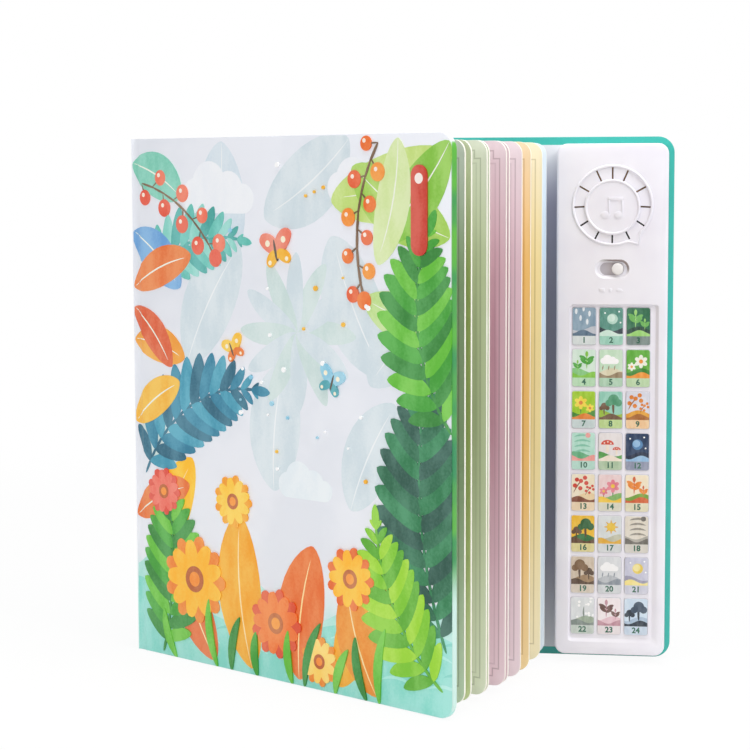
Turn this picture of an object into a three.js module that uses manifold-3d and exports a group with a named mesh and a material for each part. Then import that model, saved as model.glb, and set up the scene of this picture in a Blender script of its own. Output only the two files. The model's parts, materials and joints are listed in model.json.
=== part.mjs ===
// Upright sound book: a case-bound board book whose wide back cover carries a battery sound module.
// Millimetres, +Z up. Pieces are drawn in book coordinates: the back cover's outer face is y = 0, its
// hinge edge is x = 0, the fore edge is at +X and the reader is at -Y. The finished group is shifted so
// that the origin is the centre of the spine board's bottom face.
import * as THREE from "three";
import { mergeVertices } from "three/addons/utils/BufferGeometryUtils.js";
import Module from "manifold-3d";

const wasm = await Module();
wasm.setup();

// Covers
const bookHeight = 260;
const bookThickness = 18.2; // outer face to outer face when closed
const backWidth = 270;
const backBoard = 3.0;
const frontBoard = 2.75;
const coverCornerRadius = 8;
const coverEdgeRound = 0.5;
const hingeStripWidth = 6; // paper between the cover board and the spine
const hingeStripPaper = 0.45;
const hingeGrooveDepth = 0.7;
const hingeGrooveFullness = 1.35; // handle depth of the groove's curve, in groove depths
const hingeGrooveShoulder = 0.35; // handle place along the groove
const hingeStripSink = 0.3; // the strip runs this far under the board's face
const hingeClearance = 0.3;
const openAngle = 34.3; // degrees between the front cover and its closed place

// Spine and pages
const spineBoard = 2.5;
const spinePaper = 0.4;
const spineBoardSetback = 1.4; // from each cover's outer face to the spine board's edge
const spineLipSetback = 0.8;
const leafCount = 10;
const leafPitch = 1.15;
const leafThickness = 1.1;
const leafHeadSquare = 3; // how far the cover reaches past the leaves at head and tail
const leafCornerRadius = 6;
const gutterWidth = 4.2; // glued part of each leaf, next to the spine board
const leafSquare = 3.5; // how far the cover reaches past the closed leaves
const leafAngles = [31.6, 30.3, 26.8, 26.3, 21.8, 21.0, 16.8, 13.3, 7.0, 3.1]; // front leaf first, degrees

// Pasted sheets
const glueLine = 0.05;
const liningPaper = 0.3;
const turnInWidth = 3.9; // border of cover paper left round the lining
const liningHingeGap = 1; // between the hinge strip and the lining

// Sound module housing
const moduleFace = 18.5; // from the back cover's outer face to the module's front face
const moduleWidth = 54.1;
const moduleSideMargin = 2.7; // from the back cover's fore edge
const moduleCoverGap = 1.4; // between the closed front cover and the module
const moduleBottom = 3.9;
const moduleTopMargin = 3.5; // from the back cover's top edge
const moduleCornerRadius = 5;
const moduleEdgeRound = 1.2;
const shellWall = 1.6;
const partClearance = 0.3;

// Key tray and keys
const keyColumns = 3;
const keyRows = 8;
const keyColumnSpace = 2; // between two columns of keys
const keyRowSpace = 2.5;
const keyCornerRadius = 0.9;
const keyGap = 0.3; // all round a key in its window
const keyProud = 0.5; // above the tray floor
const keyTravel = 0.5;
const keyFlange = 0.8; // reach of the retaining flange past the cap
const keyFlangeThickness = 0.45;
const keyFlangeGap = 0.25;
const domeGap = 0.1; // left over a pressed key
const keyEdgeRound = 0.25;
const keyMarginLeft = 8.1; // from the module's left side to the first column
const keyMarginRight = 8.4;
const keyMarginBottom = 10.4;
const keysToSwitch = 19; // from the top row to the switch's centre
const trayDepth = 1.2;
const trayFloor = 0.8;
const trayMarginLeft = 1.1;
const trayMarginTop = 1.3;
const trayMarginRight = 2.7;
const trayMarginBottom = 2.4;
const traySlopeNarrow = 0.4;
const traySlopeWide = 1.6;
const trayCornerRadius = 1.6;
const trayPadReach = 1.2;

// Speaker window
const speakerFromTop = 29.9; // from the module's top to the speaker's centre
const rimSideMargin = 7.95; // from the module's side to the outer rim's centre line
const rimWidth = 1.0;
const rimHeight = 0.3;
const innerRimInset = 6.2; // from the outer rim's radius to the inner one's
const innerRimDrop = 0.9; // the inner rim's centre lies this much lower
const speakerRecess = 0.4;
const slotWidth = 0.8;
const slotAngles = [0, 24, 61, 93, 123, 153, 180, 207, 237, 267, 300, 335]; // clockwise from the top
const bubbleTailAngle = 146; // clockwise from the top
const bubbleTailHalfAngle = 11;
const bubbleTailLength = 4.1; // past the outer rim
const bubbleTailWall = 2.4; // tail's inner point to its outer point, in rim widths
const clothThickness = 0.25;
const speakerRimInset = 0.5; // from the outer rim's radius to the speaker's
const speakerRingWall = 1.0;
const speakerRingDepth = 2.9;
const basketRim = 0.9;
const basketDepth = 5.2;
const basketBackRadius = 9;
const basketWall = 0.8;
const basketHole = 3;
const basketSeat = 2.4; // flat width of its front rim
const basketShoulder = 1.6;
const coneThickness = 0.35;
const coneInset = 3.4; // from the speaker's radius to the cone's
const coneRollWidth = 1.4;
const coneRollStep = 0.4;
const coneRollFoot = 0.6;
const coneNeckRadius = 4;
const coneNeckDepth = 3;
const coneCapRadius = 3.4;
const coneCapDepth = 1.6;
const magnetEdge = 0.6;
const magnetRadius = 8;
const magnetHeight = 4;

// Slide switch
const switchFromSpeaker = 31; // centre to centre
const switchKnobRadius = 2.9;
const switchKnobProud = 0.4;
const switchKnobTravel = 5.5; // between its two ends, the knob rests at the right end
const switchGap = 0.25;
const switchRecessDepth = 1.4;
const switchFloor = 0.9;
const switchRecessMargin = 1.5;
const switchRecessSlope = 1.0;
const switchPadReach = 0.8;
const sliderPlateLength = 18.2;
const sliderPlateHeight = 8.2;
const sliderPlateThickness = 0.8;
const sliderStem = 2.4;
const sliderStemDepth = 1.8; // into the switch body
const switchBodyLength = 17;
const switchBodyHeight = 7;
const switchBodyDepth = 4;

// Rear shell, battery bay and electronics
const basePlate = 1.4;
const cellRadius = 5.25;
const cellLength = 44.5;
const cellNubRadius = 1.9;
const cellNubHeight = 1.0;
const cellPitch = 11;
const cellCount = 3;
const cellEdge = 0.5;
const bayFromBottom = 26.1;
const bayWall = 1.2;
const bayCeiling = 0.9;
const bayClearance = 0.35;
const springLength = 3.2;
const springRadius = 2.9;
const springTopRadius = 2.0;
const springWire = 0.25;
const springTurns = 3;
const contactSize = 8;
const contactThickness = 0.5;
const contactGap = 0.2;
const doorThickness = 1.2;
const doorInset = 0.25; // from the back cover's outer face
const doorLedge = 1.5;
const doorCornerRadius = 2;
const doorScrewZone = 10.8; // door length past the bay, where its screw sits
const doorScrewFromBay = 5.6;
const doorScrewSink = 0.35;
const doorSideLand = 1.4;
const doorEndLand = 1;
const collarWall = 1.1;
const doorBossRadius = 4;
const doorBossHeight = 1.65;
const doorGrooveDepth = 0.4;
const doorGrooveCount = 5;
const doorGrooveWidth = 0.8;
const doorGroovePitch = 1.8;
const doorGrooveHalfLength = 7;
const doorGrooveStart = 4; // from the door's lower end
const screwHeadRadius = 2.0;
const screwHeadHeight = 1.3;
const screwShankRadius = 1.1;
const screwShankLength = 7.6;
const screwPoint = 1;
const screwCrown = 0.75; // radius of the head's flat top, in head radii
const screwCrownDrop = 0.35; // where the head's side starts, in head heights
const screwGap = 0.25;
const screwWellWall = 1.2;
const screwWellRim = 0.5;
const bossRadius = 2.3;
const bossInsetX = 4.75; // from the module's side to a boss centre
const bossInsetZ = 8.5;
const boardThickness = 0.8;
const boardSideInset = 7.5;
const boardFromBottom = 6.1;
const boardTopPastSwitch = 7.4;
const matSheet = 0.4;
const domeHeight = 0.6;
const domeRadius = 3.2;
const domeTopRadius = 2.2;
const boardPostRadius = 2.5;
const boardPostBelowKeys = 26.6; // from the top of the key field
const boardPostSpread = 14;
const chipRadius = 6;
const chipHeight = 1.3;

// Allowances of the cutting tools
const through = 1; // a cutter's reach past the face that it leaves by
const sink = 0.2; // how far a joined form is let into the one that carries it
const slightGap = 0.1;
const overshoot = 0.2;

const roundSides = 20;
const smallSides = 12;
const cornerSteps = 5;
const smallCornerSteps = 2;

// Depths, all negative, counted from the back cover's outer face towards the reader
const liningBackY = -(backBoard + glueLine);
const liningFrontY = liningBackY - liningPaper;
const moduleBackY = liningFrontY - glueLine;
const faceY = -moduleFace;
const faceBackY = faceY + shellWall;
const trayFloorY = faceY + trayDepth;
const trayBackY = trayFloorY + trayFloor;
const keyFrontY = trayFloorY - keyProud;
const flangeFrontY = trayBackY + keyFlangeGap;
const flangeBackY = flangeFrontY + keyFlangeThickness;
const plateFrontY = moduleBackY - basePlate;
const bayFrontY = flangeBackY + keyTravel + domeHeight + matSheet + boardThickness + domeGap + 2 * glueLine;
const boardBackY = bayFrontY - glueLine;
const boardFrontY = boardBackY - boardThickness;
const matBackY = boardFrontY - glueLine;
const matFrontY = matBackY - matSheet;

// Places that follow from the sizes above
const moduleRight = backWidth - moduleSideMargin;
const moduleLeft = moduleRight - moduleWidth;
const moduleCentreX = (moduleLeft + moduleRight) / 2;
const moduleTop = bookHeight - moduleTopMargin;
const frontWidth = moduleLeft - moduleCoverGap;
const leafHeight = bookHeight - 2 * leafHeadSquare;
const speakerCentreZ = moduleTop - speakerFromTop;
const switchCentreZ = speakerCentreZ - switchFromSpeaker;
const rimRadius = moduleWidth / 2 - rimSideMargin; // centre line of the raised outer rim
const innerRimRadius = rimRadius - innerRimInset;
const bubbleTailReach = rimRadius + bubbleTailLength;
const speakerRadius = rimRadius - speakerRimInset;
const firstKeyLeft = moduleLeft + keyMarginLeft;
const keyFieldRight = moduleRight - keyMarginRight;
const keyPitchX = (keyFieldRight - firstKeyLeft + keyColumnSpace) / keyColumns;
const keyWidth = keyPitchX - keyColumnSpace;
const lastKeyBottom = moduleBottom + keyMarginBottom;
const keyFieldTop = switchCentreZ - keysToSwitch;
const keyPitchZ = (keyFieldTop - lastKeyBottom + keyRowSpace) / keyRows;
const keyHeight = keyPitchZ - keyRowSpace;
const bayBottom = moduleBottom + bayFromBottom;
const boardBottom = moduleBottom + boardFromBottom;
const boardPostZ = keyFieldTop - boardPostBelowKeys;

// Materials
function finish(color, roughness, metalness = 0) {
  return new THREE.MeshStandardMaterial({ color, roughness, metalness });
}
const tealPaper = finish("#35b59c", 0.55);
const printedPaper = finish("#dfe3ee", 0.5);
const whitePaper = finish("#f1f1f1", 0.7);
const leafBoard = finish("#f3efe6", 0.6);
const whiteShell = finish("#ece9ef", 0.45);
const keyPlastic = finish("#e9e6ec", 0.4);
const blackPlastic = finish("#2c2c2e", 0.6);
const greenBoard = finish("#2f6f4a", 0.5);
const siliconeRubber = finish("#b9bcc2", 0.8);
const springSteel = finish("#c4c6c8", 0.3, 1);
const screwSteel = finish("#b4b6b8", 0.35, 1);
const contactBrass = finish("#c9a85a", 0.35, 1);
const cellJacket = finish("#3a6f8f", 0.4, 0.3);
const speakerCloth = finish("#4a3a30", 0.9);
const coneCard = finish("#3a332e", 0.9);

// Closed solids, made from a geometry's positions alone
function solid(geometry) {
  const bare = geometry.index ? geometry.toNonIndexed() : geometry.clone();
  bare.deleteAttribute("normal");
  bare.deleteAttribute("uv");
  const merged = mergeVertices(bare, 1e-4);
  const triangles = new Uint32Array(merged.index.array);
  const vertices = new Float32Array(merged.attributes.position.array);
  const made = new wasm.Manifold(
    new wasm.Mesh({ numProp: 3, vertProperties: vertices, triVerts: triangles }),
  );
  if (made.volume() >= 0) return made;
  for (let i = 0; i < triangles.length; i += 3) {
    [triangles[i + 1], triangles[i + 2]] = [triangles[i + 2], triangles[i + 1]];
  }
  return new wasm.Manifold(
    new wasm.Mesh({ numProp: 3, vertProperties: vertices, triVerts: triangles }),
  );
}

function geometryOf(body) {
  const mesh = body.getMesh();
  const positions = new Float32Array(mesh.numVert * 3);
  for (let i = 0; i < mesh.numVert; i++) {
    positions.set(mesh.vertProperties.subarray(i * mesh.numProp, i * mesh.numProp + 3), i * 3);
  }
  const geometry = new THREE.BufferGeometry();
  geometry.setAttribute("position", new THREE.BufferAttribute(positions, 3));
  geometry.setIndex(new THREE.BufferAttribute(new Uint32Array(mesh.triVerts), 1));
  geometry.computeVertexNormals();
  return geometry;
}

function join(...bodies) {
  return bodies.reduce((sum, body) => sum.add(body));
}

function cut(body, ...tools) {
  return tools.reduce((left, tool) => left.subtract(tool), body);
}

function box(x0, x1, y0, y1, z0, z1) {
  const geometry = new THREE.BoxGeometry(Math.abs(x1 - x0), Math.abs(y1 - y0), Math.abs(z1 - z0));
  geometry.translate((x0 + x1) / 2, (y0 + y1) / 2, (z0 + z1) / 2);
  return solid(geometry);
}

// Corner points of a rectangle with rounded corners, in a plane
function roundedOutline(x0, x1, z0, z1, radius, steps = smallCornerSteps) {
  const centres = [
    [x0 + radius, z0 + radius],
    [x1 - radius, z0 + radius],
    [x1 - radius, z1 - radius],
    [x0 + radius, z1 - radius],
  ];
  return centres.flatMap(([cx, cz], corner) =>
    Array.from({ length: steps + 1 }, (_, i) => {
      const angle = (corner - 2 + i / steps) * (Math.PI / 2);
      return new THREE.Vector2(cx + radius * Math.cos(angle), cz + radius * Math.sin(angle));
    }),
  );
}

// A solid whose outline changes along Y: each section is an outline and its depth
function loft(sections) {
  const count = sections[0].outline.length;
  const positions = sections.flatMap(({ outline, y }) => outline.flatMap((p) => [p.x, y, p.y]));
  const faces = [];
  for (let s = 0; s + 1 < sections.length; s++) {
    for (let i = 0; i < count; i++) {
      const a = s * count + i;
      const b = s * count + ((i + 1) % count);
      faces.push(a, b, b + count, a, b + count, a + count);
    }
  }
  const last = (sections.length - 1) * count;
  for (let i = 1; i + 1 < count; i++) {
    faces.push(0, i + 1, i);
    faces.push(last, last + i, last + i + 1);
  }
  const geometry = new THREE.BufferGeometry();
  geometry.setAttribute("position", new THREE.Float32BufferAttribute(positions, 3));
  geometry.setIndex(faces);
  return solid(geometry);
}

function slab(outline, y0, y1) {
  return loft([
    { outline, y: y0 },
    { outline, y: y1 },
  ]);
}

// A round solid about an axis along Y; the profile holds [radius, y] pairs
function turned(profile, x, z, sides = roundSides) {
  const points = profile.map(([radius, y]) => new THREE.Vector2(radius, y));
  if (profile[0][0] > 0) points.push(points[0].clone());
  const geometry = new THREE.LatheGeometry(points, sides);
  geometry.translate(x, 0, z);
  return solid(geometry);
}

function rod(radius, y0, y1, x, z, sides = roundSides) {
  return turned([[0, y0], [radius, y0], [radius, y1], [0, y1]], x, z, sides);
}

// Covers
function coverBoard(width, thickness, inward) {
  const outline = new THREE.Shape();
  const r = coverCornerRadius;
  outline.moveTo(hingeStripWidth, 0);
  outline.lineTo(width - r, 0);
  outline.absarc(width - r, r, r, -Math.PI / 2, 0, false);
  outline.absarc(width - r, bookHeight - r, r, 0, Math.PI / 2, false);
  outline.lineTo(hingeStripWidth, bookHeight);
  outline.closePath();
  const geometry = new THREE.ExtrudeGeometry(outline, {
    depth: thickness - 2 * coverEdgeRound,
    bevelEnabled: true,
    bevelThickness: coverEdgeRound,
    bevelSize: coverEdgeRound,
    bevelOffset: -coverEdgeRound,
    bevelSegments: 2,
    curveSegments: cornerSteps,
  });
  geometry.rotateX(Math.PI / 2);
  geometry.translate(0, -coverEdgeRound, 0);
  if (inward > 0) geometry.translate(0, thickness, 0);
  return solid(geometry);
}

// The pressed groove of paper between a cover board and the spine, drawn in plan
function hingeStrip(inward) {
  const start = hingeClearance;
  const end = hingeStripWidth + 2 * coverEdgeRound;
  const side = (depth) => inward * depth;
  const reach = hingeStripWidth - start;
  const plan = new THREE.Shape();
  const bottom = hingeGrooveDepth * hingeGrooveFullness;
  const near = start + reach * hingeGrooveShoulder;
  const far = start + reach * (1 - hingeGrooveShoulder);
  const inside = hingeStripSink + hingeStripPaper;
  plan.moveTo(start, side(0));
  plan.bezierCurveTo(near, side(bottom), far, side(bottom), hingeStripWidth, side(hingeStripSink));
  plan.lineTo(end, side(hingeStripSink));
  plan.lineTo(end, side(inside));
  plan.lineTo(hingeStripWidth, side(inside));
  plan.bezierCurveTo(
    far, side(bottom + hingeStripPaper), near, side(bottom + hingeStripPaper), start, side(hingeStripPaper));
  plan.closePath();
  const geometry = new THREE.ExtrudeGeometry(plan, {
    depth: bookHeight,
    bevelEnabled: false,
    curveSegments: 6,
  });
  return solid(geometry);
}

function cover(width, thickness, inward) {
  return join(coverBoard(width, thickness, inward), hingeStrip(inward));
}

function lining(width, inward) {
  const outline = roundedOutline(
    hingeStripWidth + liningHingeGap,
    width - turnInWidth,
    turnInWidth,
    bookHeight - turnInWidth,
    coverCornerRadius / 2,
  );
  const thickness = inward > 0 ? frontBoard : backBoard;
  const near = inward * (thickness + glueLine);
  return slab(outline, near, near + inward * liningPaper);
}

function spine() {
  const board = box(0, spineBoard, -spineBoardSetback, spineBoardSetback - bookThickness, 0, bookHeight);
  const paper = box(0, spinePaper, -spineLipSetback, spineLipSetback - bookThickness, 0, bookHeight);
  return join(board, paper);
}

// Pages: one fan of board leaves joined at the gutter
function pageBlock() {
  const spineSide = spineBoard + partClearance;
  const gutterEdge = spineSide + gutterWidth;
  const freeWidth = frontWidth - leafSquare - gutterEdge;
  const z0 = (bookHeight - leafHeight) / 2;
  const z1 = z0 + leafHeight;
  const blockDepth = leafCount * leafPitch;
  const frontLiningY = -(bookThickness - frontBoard - glueLine - liningPaper);
  const blockFront = (frontLiningY + liningFrontY - blockDepth) / 2;
  const plan = (width) => {
    const r = leafCornerRadius;
    const shape = new THREE.Shape();
    shape.moveTo(0, z0);
    shape.lineTo(width - r, z0);
    shape.absarc(width - r, z0 + r, r, -Math.PI / 2, 0, false);
    shape.absarc(width - r, z1 - r, r, 0, Math.PI / 2, false);
    shape.lineTo(0, z1);
    shape.closePath();
    return shape;
  };
  const leaves = leafAngles.map((degrees, i) => {
    const geometry = new THREE.ExtrudeGeometry(plan(freeWidth), {
      depth: leafThickness,
      bevelEnabled: false,
      curveSegments: cornerSteps,
    });
    geometry.rotateX(Math.PI / 2);
    geometry.translate(0, leafThickness / 2, 0);
    geometry.rotateZ(-THREE.MathUtils.degToRad(degrees));
    geometry.translate(gutterEdge, blockFront + leafPitch * (i + 0.5), 0);
    return solid(geometry);
  });
  const glued = box(spineSide, gutterEdge + leafThickness / 2, blockFront, blockFront + blockDepth, z0, z1);
  return join(glued, ...leaves);
}

// Sound module housing
function moduleOutline(inset, radiusCut = inset) {
  return roundedOutline(
    moduleLeft + inset,
    moduleRight - inset,
    moduleBottom + inset,
    moduleTop - inset,
    moduleCornerRadius - radiusCut,
    cornerSteps,
  );
}

function roundedFront() {
  const steps = 3;
  const sections = [{ outline: moduleOutline(0), y: moduleBackY }];
  for (let i = 0; i <= steps; i++) {
    const angle = (Math.PI / 2) * (i / steps);
    const inset = moduleEdgeRound * (1 - Math.cos(angle));
    sections.push({
      outline: moduleOutline(inset),
      y: faceY + moduleEdgeRound * (1 - Math.sin(angle)),
    });
  }
  return loft(sections);
}

function keyOutline(column, row, grow) {
  const x = firstKeyLeft + column * keyPitchX;
  const z = keyFieldTop - keyHeight - row * keyPitchZ;
  return roundedOutline(
    x - grow, x + keyWidth + grow, z - grow, z + keyHeight + grow, keyCornerRadius + Math.max(grow, 0) / 2);
}

function trayOutline(grow, slope) {
  return roundedOutline(
    firstKeyLeft - trayMarginLeft - grow - slope * traySlopeNarrow,
    keyFieldRight + trayMarginRight + grow + slope * traySlopeWide,
    lastKeyBottom - trayMarginBottom - grow - slope * traySlopeWide,
    keyFieldTop + trayMarginTop + grow + slope * traySlopeNarrow,
    trayCornerRadius + grow,
    3,
  );
}

function eachKey(make) {
  const made = [];
  for (let row = 0; row < keyRows; row++) {
    for (let column = 0; column < keyColumns; column++) made.push(make(column, row));
  }
  return made;
}

const roundShy = 0.01; // keeps the two arcs of a rounded end apart

function stadium(halfLength, radius, grow) {
  return roundedOutline(
    moduleCentreX - halfLength - grow,
    moduleCentreX + halfLength + grow,
    switchCentreZ - radius - grow,
    switchCentreZ + radius + grow,
    radius + grow - roundShy,
    cornerSteps,
  );
}

const slotHalfHeight = switchKnobRadius + switchGap;
const slotHalfLength = switchKnobTravel / 2 + slotHalfHeight;

// Clockwise angle from the top, as on a clock face
function clockPoint(radius, degrees, drop = 0) {
  const angle = THREE.MathUtils.degToRad(90 - degrees);
  return new THREE.Vector2(
    moduleCentreX + radius * Math.cos(angle),
    speakerCentreZ - drop + radius * Math.sin(angle),
  );
}

// A closed ring drawn round the speaker; a reach gives it a speech-bubble tail
function bubblePoints(radius, tailReach) {
  const points = [];
  const steps = 40;
  const start = bubbleTailAngle + bubbleTailHalfAngle;
  const sweep = 360 - 2 * bubbleTailHalfAngle;
  for (let i = 0; i <= steps; i++) points.push(clockPoint(radius, start + (sweep * i) / steps));
  points.push(clockPoint(tailReach, bubbleTailAngle));
  return points;
}

// A flat ring between two outlines that run clockwise
function ridge(outer, inner, y0, y1) {
  const shape = new THREE.Shape([...outer].reverse());
  shape.holes.push(new THREE.Path(inner));
  const geometry = new THREE.ExtrudeGeometry(shape, { depth: Math.abs(y1 - y0), bevelEnabled: false });
  geometry.rotateX(Math.PI / 2);
  geometry.translate(0, Math.max(y0, y1), 0);
  return solid(geometry);
}

function circlePoints(radius, drop, steps = 40) {
  return Array.from({ length: steps }, (_, i) => clockPoint(radius, (360 * i) / steps, drop));
}

function speakerSlot(degrees) {
  const angle = THREE.MathUtils.degToRad(degrees);
  const outer = rimRadius - rimWidth / 2 - slightGap;
  const inner = innerRimRadius + rimWidth / 2 - innerRimDrop * Math.cos(angle) + slightGap;
  const geometry = new THREE.BoxGeometry(slotWidth, 4 * shellWall, outer - inner);
  geometry.translate(0, faceY + shellWall, (outer + inner) / 2);
  geometry.rotateY(angle);
  geometry.translate(moduleCentreX, 0, speakerCentreZ);
  return solid(geometry);
}

const bossPlaces = [
  [moduleLeft + bossInsetX, moduleBottom + bossInsetZ],
  [moduleRight - bossInsetX, moduleBottom + bossInsetZ],
  [moduleLeft + bossInsetX, moduleTop - bossInsetZ],
  [moduleRight - bossInsetX, moduleTop - bossInsetZ],
];
const wellFrontY = moduleBackY - glueLine - screwGap - screwHeadHeight - screwWellWall;
const bossBackY = wellFrontY - partClearance;
const screwHeadY = moduleBackY - screwGap;

function moduleHousing() {
  const cavity = slab(moduleOutline(shellWall), moduleBackY + through, faceBackY);
  let body = cut(roundedFront(), cavity);
  const trayPad = slab(trayOutline(trayPadReach, 0), faceBackY - sink, trayBackY);
  const switchBack = faceY + switchRecessDepth + switchFloor;
  const switchPad = slab(
    stadium(slotHalfLength, slotHalfHeight, switchRecessMargin + switchPadReach),
    faceBackY - sink,
    switchBack,
  );
  const ringInner = speakerRadius + partClearance;
  const speakerRing = turned(
    [
      [ringInner, faceBackY - sink],
      [ringInner + speakerRingWall, faceBackY - sink],
      [ringInner + speakerRingWall, faceBackY + speakerRingDepth],
      [ringInner, faceBackY + speakerRingDepth],
    ],
    moduleCentreX,
    speakerCentreZ,
    32,
  );
  const bosses = bossPlaces.map(([x, z]) => rod(bossRadius, faceBackY - sink, bossBackY, x, z, smallSides));
  body = join(body, trayPad, switchPad, speakerRing, ...bosses);
  const pilot = screwShankRadius + screwGap / 2;
  const pilots = bossPlaces.map(([x, z]) => {
    const end = screwHeadY - screwHeadHeight - screwShankLength - partClearance;
    return rod(pilot, bossBackY + through, end, x, z, smallSides);
  });
  const tray = loft([
    { outline: trayOutline(0, 1 + overshoot), y: faceY - overshoot * trayDepth },
    { outline: trayOutline(0, 0), y: trayFloorY },
  ]);
  const windows = eachKey((column, row) =>
    slab(keyOutline(column, row, keyGap), trayFloorY - through, trayBackY + through));
  const recess = loft([
    {
      outline: stadium(slotHalfLength, slotHalfHeight, switchRecessMargin + overshoot * switchRecessSlope),
      y: faceY - overshoot * switchRecessDepth,
    },
    {
      outline: stadium(slotHalfLength, slotHalfHeight, switchRecessMargin - switchRecessSlope),
      y: faceY + switchRecessDepth,
    },
  ]);
  const slot = slab(stadium(slotHalfLength, slotHalfHeight, 0), faceY, switchBack + through);
  const annulus = ridge(
    circlePoints(rimRadius, 0),
    circlePoints(innerRimRadius, innerRimDrop),
    faceY - through,
    faceY + speakerRecess,
  );
  body = cut(body, ...pilots, tray, ...windows, recess, slot, annulus, ...slotAngles.map(speakerSlot));
  const half = rimWidth / 2;
  const outerRim = ridge(
    bubblePoints(rimRadius + half, bubbleTailReach),
    bubblePoints(rimRadius - half, bubbleTailReach - bubbleTailWall * rimWidth),
    faceY - rimHeight,
    faceY + speakerRecess + sink,
  );
  const innerRim = ridge(
    circlePoints(innerRimRadius + half, innerRimDrop),
    circlePoints(innerRimRadius - half, innerRimDrop),
    faceY - rimHeight,
    faceY + speakerRecess + sink,
  );
  return join(body, outerRim, innerRim);
}

// Keys
function keyCap(column, row) {
  const round = keyEdgeRound;
  const cap = loft([
    { outline: keyOutline(column, row, -round), y: keyFrontY },
    { outline: keyOutline(column, row, 0), y: keyFrontY + round },
    { outline: keyOutline(column, row, 0), y: flangeFrontY + keyFlangeThickness / 2 },
  ]);
  const flange = slab(keyOutline(column, row, keyFlange), flangeFrontY, flangeBackY);
  return join(cap, flange);
}

function keyCentre(column, row) {
  return [
    firstKeyLeft + column * keyPitchX + keyWidth / 2,
    keyFieldTop - keyHeight / 2 - row * keyPitchZ,
  ];
}

// Rear shell with the battery bay
const bayHalfWidth = ((cellCount - 1) * cellPitch) / 2 + cellRadius + bayClearance;
const bayLength = cellLength + springLength + contactThickness + 5 * contactGap;
const bayTop = bayBottom + bayLength;
const doorBottom = bayBottom - bayWall - partClearance - doorEndLand;
const doorTop = bayTop + doorScrewZone;
const doorHalfWidth = bayHalfWidth + bayWall + doorSideLand;
const doorFrontY = -(doorInset + doorThickness);
const ledgeY = -(doorInset + doorLedge);
const doorScrewZ = bayTop + doorScrewFromBay;
const doorHeadY = -(doorInset + doorScrewSink);
const doorBossFrontY = doorFrontY - doorBossHeight;
const cellY = ledgeY - cellRadius;
const chipZ = (doorTop + boardPostZ) / 2;
const shellSink = 0.5; // how far the bay, bosses and posts are let into the base plate
const bayHollowRadius = 0.6;

function bayOutline(grow, radius) {
  return roundedOutline(
    moduleCentreX - bayHalfWidth - grow,
    moduleCentreX + bayHalfWidth + grow,
    bayBottom - grow,
    bayTop + grow,
    radius,
  );
}

function doorOutline(grow) {
  return roundedOutline(
    moduleCentreX - doorHalfWidth - grow,
    moduleCentreX + doorHalfWidth + grow,
    doorBottom - grow,
    doorTop + grow,
    doorCornerRadius + grow,
    3,
  );
}

function moduleBase() {
  const plate = slab(moduleOutline(shellWall + partClearance), moduleBackY, plateFrontY);
  const collar = slab(doorOutline(partClearance + collarWall), -doorInset, plateFrontY);
  const bay = slab(bayOutline(bayWall, bayHollowRadius + bayWall / 2), plateFrontY + shellSink, bayFrontY);
  const doorShankEnd = doorHeadY - screwHeadHeight - screwShankLength;
  const screwBoss = rod(
    bossRadius + doorEndLand,
    plateFrontY + shellSink,
    doorShankEnd - through,
    moduleCentreX,
    doorScrewZ,
    smallSides,
  );
  const wells = bossPlaces.map(([x, z]) =>
    rod(screwHeadRadius + screwGap + screwWellRim, moduleBackY - shellSink, wellFrontY, x, z, smallSides));
  const posts = [-1, 1].map((side) => {
    const x = moduleCentreX + side * boardPostSpread;
    return rod(boardPostRadius, plateFrontY + shellSink, bayFrontY, x, boardPostZ, smallSides);
  });
  const body = join(plate, collar, bay, screwBoss, ...wells, ...posts);
  const doorSeat = slab(doorOutline(partClearance), through, ledgeY);
  const bayHollow = slab(bayOutline(0, bayHollowRadius), through, bayFrontY + bayCeiling);
  const bossPocket = rod(
    doorBossRadius + partClearance, through, doorBossFrontY - partClearance, moduleCentreX, doorScrewZ);
  const shankHole = rod(
    screwShankRadius + screwGap, through, doorShankEnd - partClearance, moduleCentreX, doorScrewZ, smallSides);
  const wellFloorY = screwHeadY - screwHeadHeight - slightGap;
  const headWells = bossPlaces.flatMap(([x, z]) => [
    rod(screwHeadRadius + screwGap, moduleBackY + through, wellFloorY, x, z, smallSides),
    rod(screwShankRadius + screwGap, moduleBackY, wellFrontY - through, x, z, smallSides),
  ]);
  return cut(body, doorSeat, bayHollow, bossPocket, shankHole, ...headWells);
}

function batteryDoor() {
  const plate = slab(doorOutline(0), -doorInset, doorFrontY);
  const boss = rod(doorBossRadius, doorFrontY + sink, doorBossFrontY, moduleCentreX, doorScrewZ);
  const headSeat = rod(
    screwHeadRadius + screwGap, through, doorHeadY - screwHeadHeight - slightGap, moduleCentreX, doorScrewZ);
  const hole = rod(
    screwShankRadius + screwGap, through, doorBossFrontY - through, moduleCentreX, doorScrewZ, smallSides);
  const grooves = Array.from({ length: doorGrooveCount }, (_, i) => {
    const z = doorBottom + doorGrooveStart + i * doorGroovePitch;
    const left = moduleCentreX - doorGrooveHalfLength;
    const right = moduleCentreX + doorGrooveHalfLength;
    return box(left, right, through, -doorInset - doorGrooveDepth, z, z + doorGrooveWidth);
  });
  return cut(join(plate, boss), headSeat, hole, ...grooves);
}

function screw(headY, x, z) {
  const shankY = headY - screwHeadHeight;
  const profile = [
    [0, headY],
    [screwHeadRadius * screwCrown, headY],
    [screwHeadRadius, headY - screwHeadHeight * screwCrownDrop],
    [screwHeadRadius, shankY],
    [screwShankRadius, shankY],
    [screwShankRadius, shankY - screwShankLength + screwPoint],
    [0, shankY - screwShankLength],
  ];
  return turned(profile, x, z, smallSides);
}

// Cells stand side by side, the middle one upside down
function cellPlace(i) {
  const x = moduleCentreX + (i - (cellCount - 1) / 2) * cellPitch;
  const up = i % 2 === 0;
  return { x, up };
}

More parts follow.
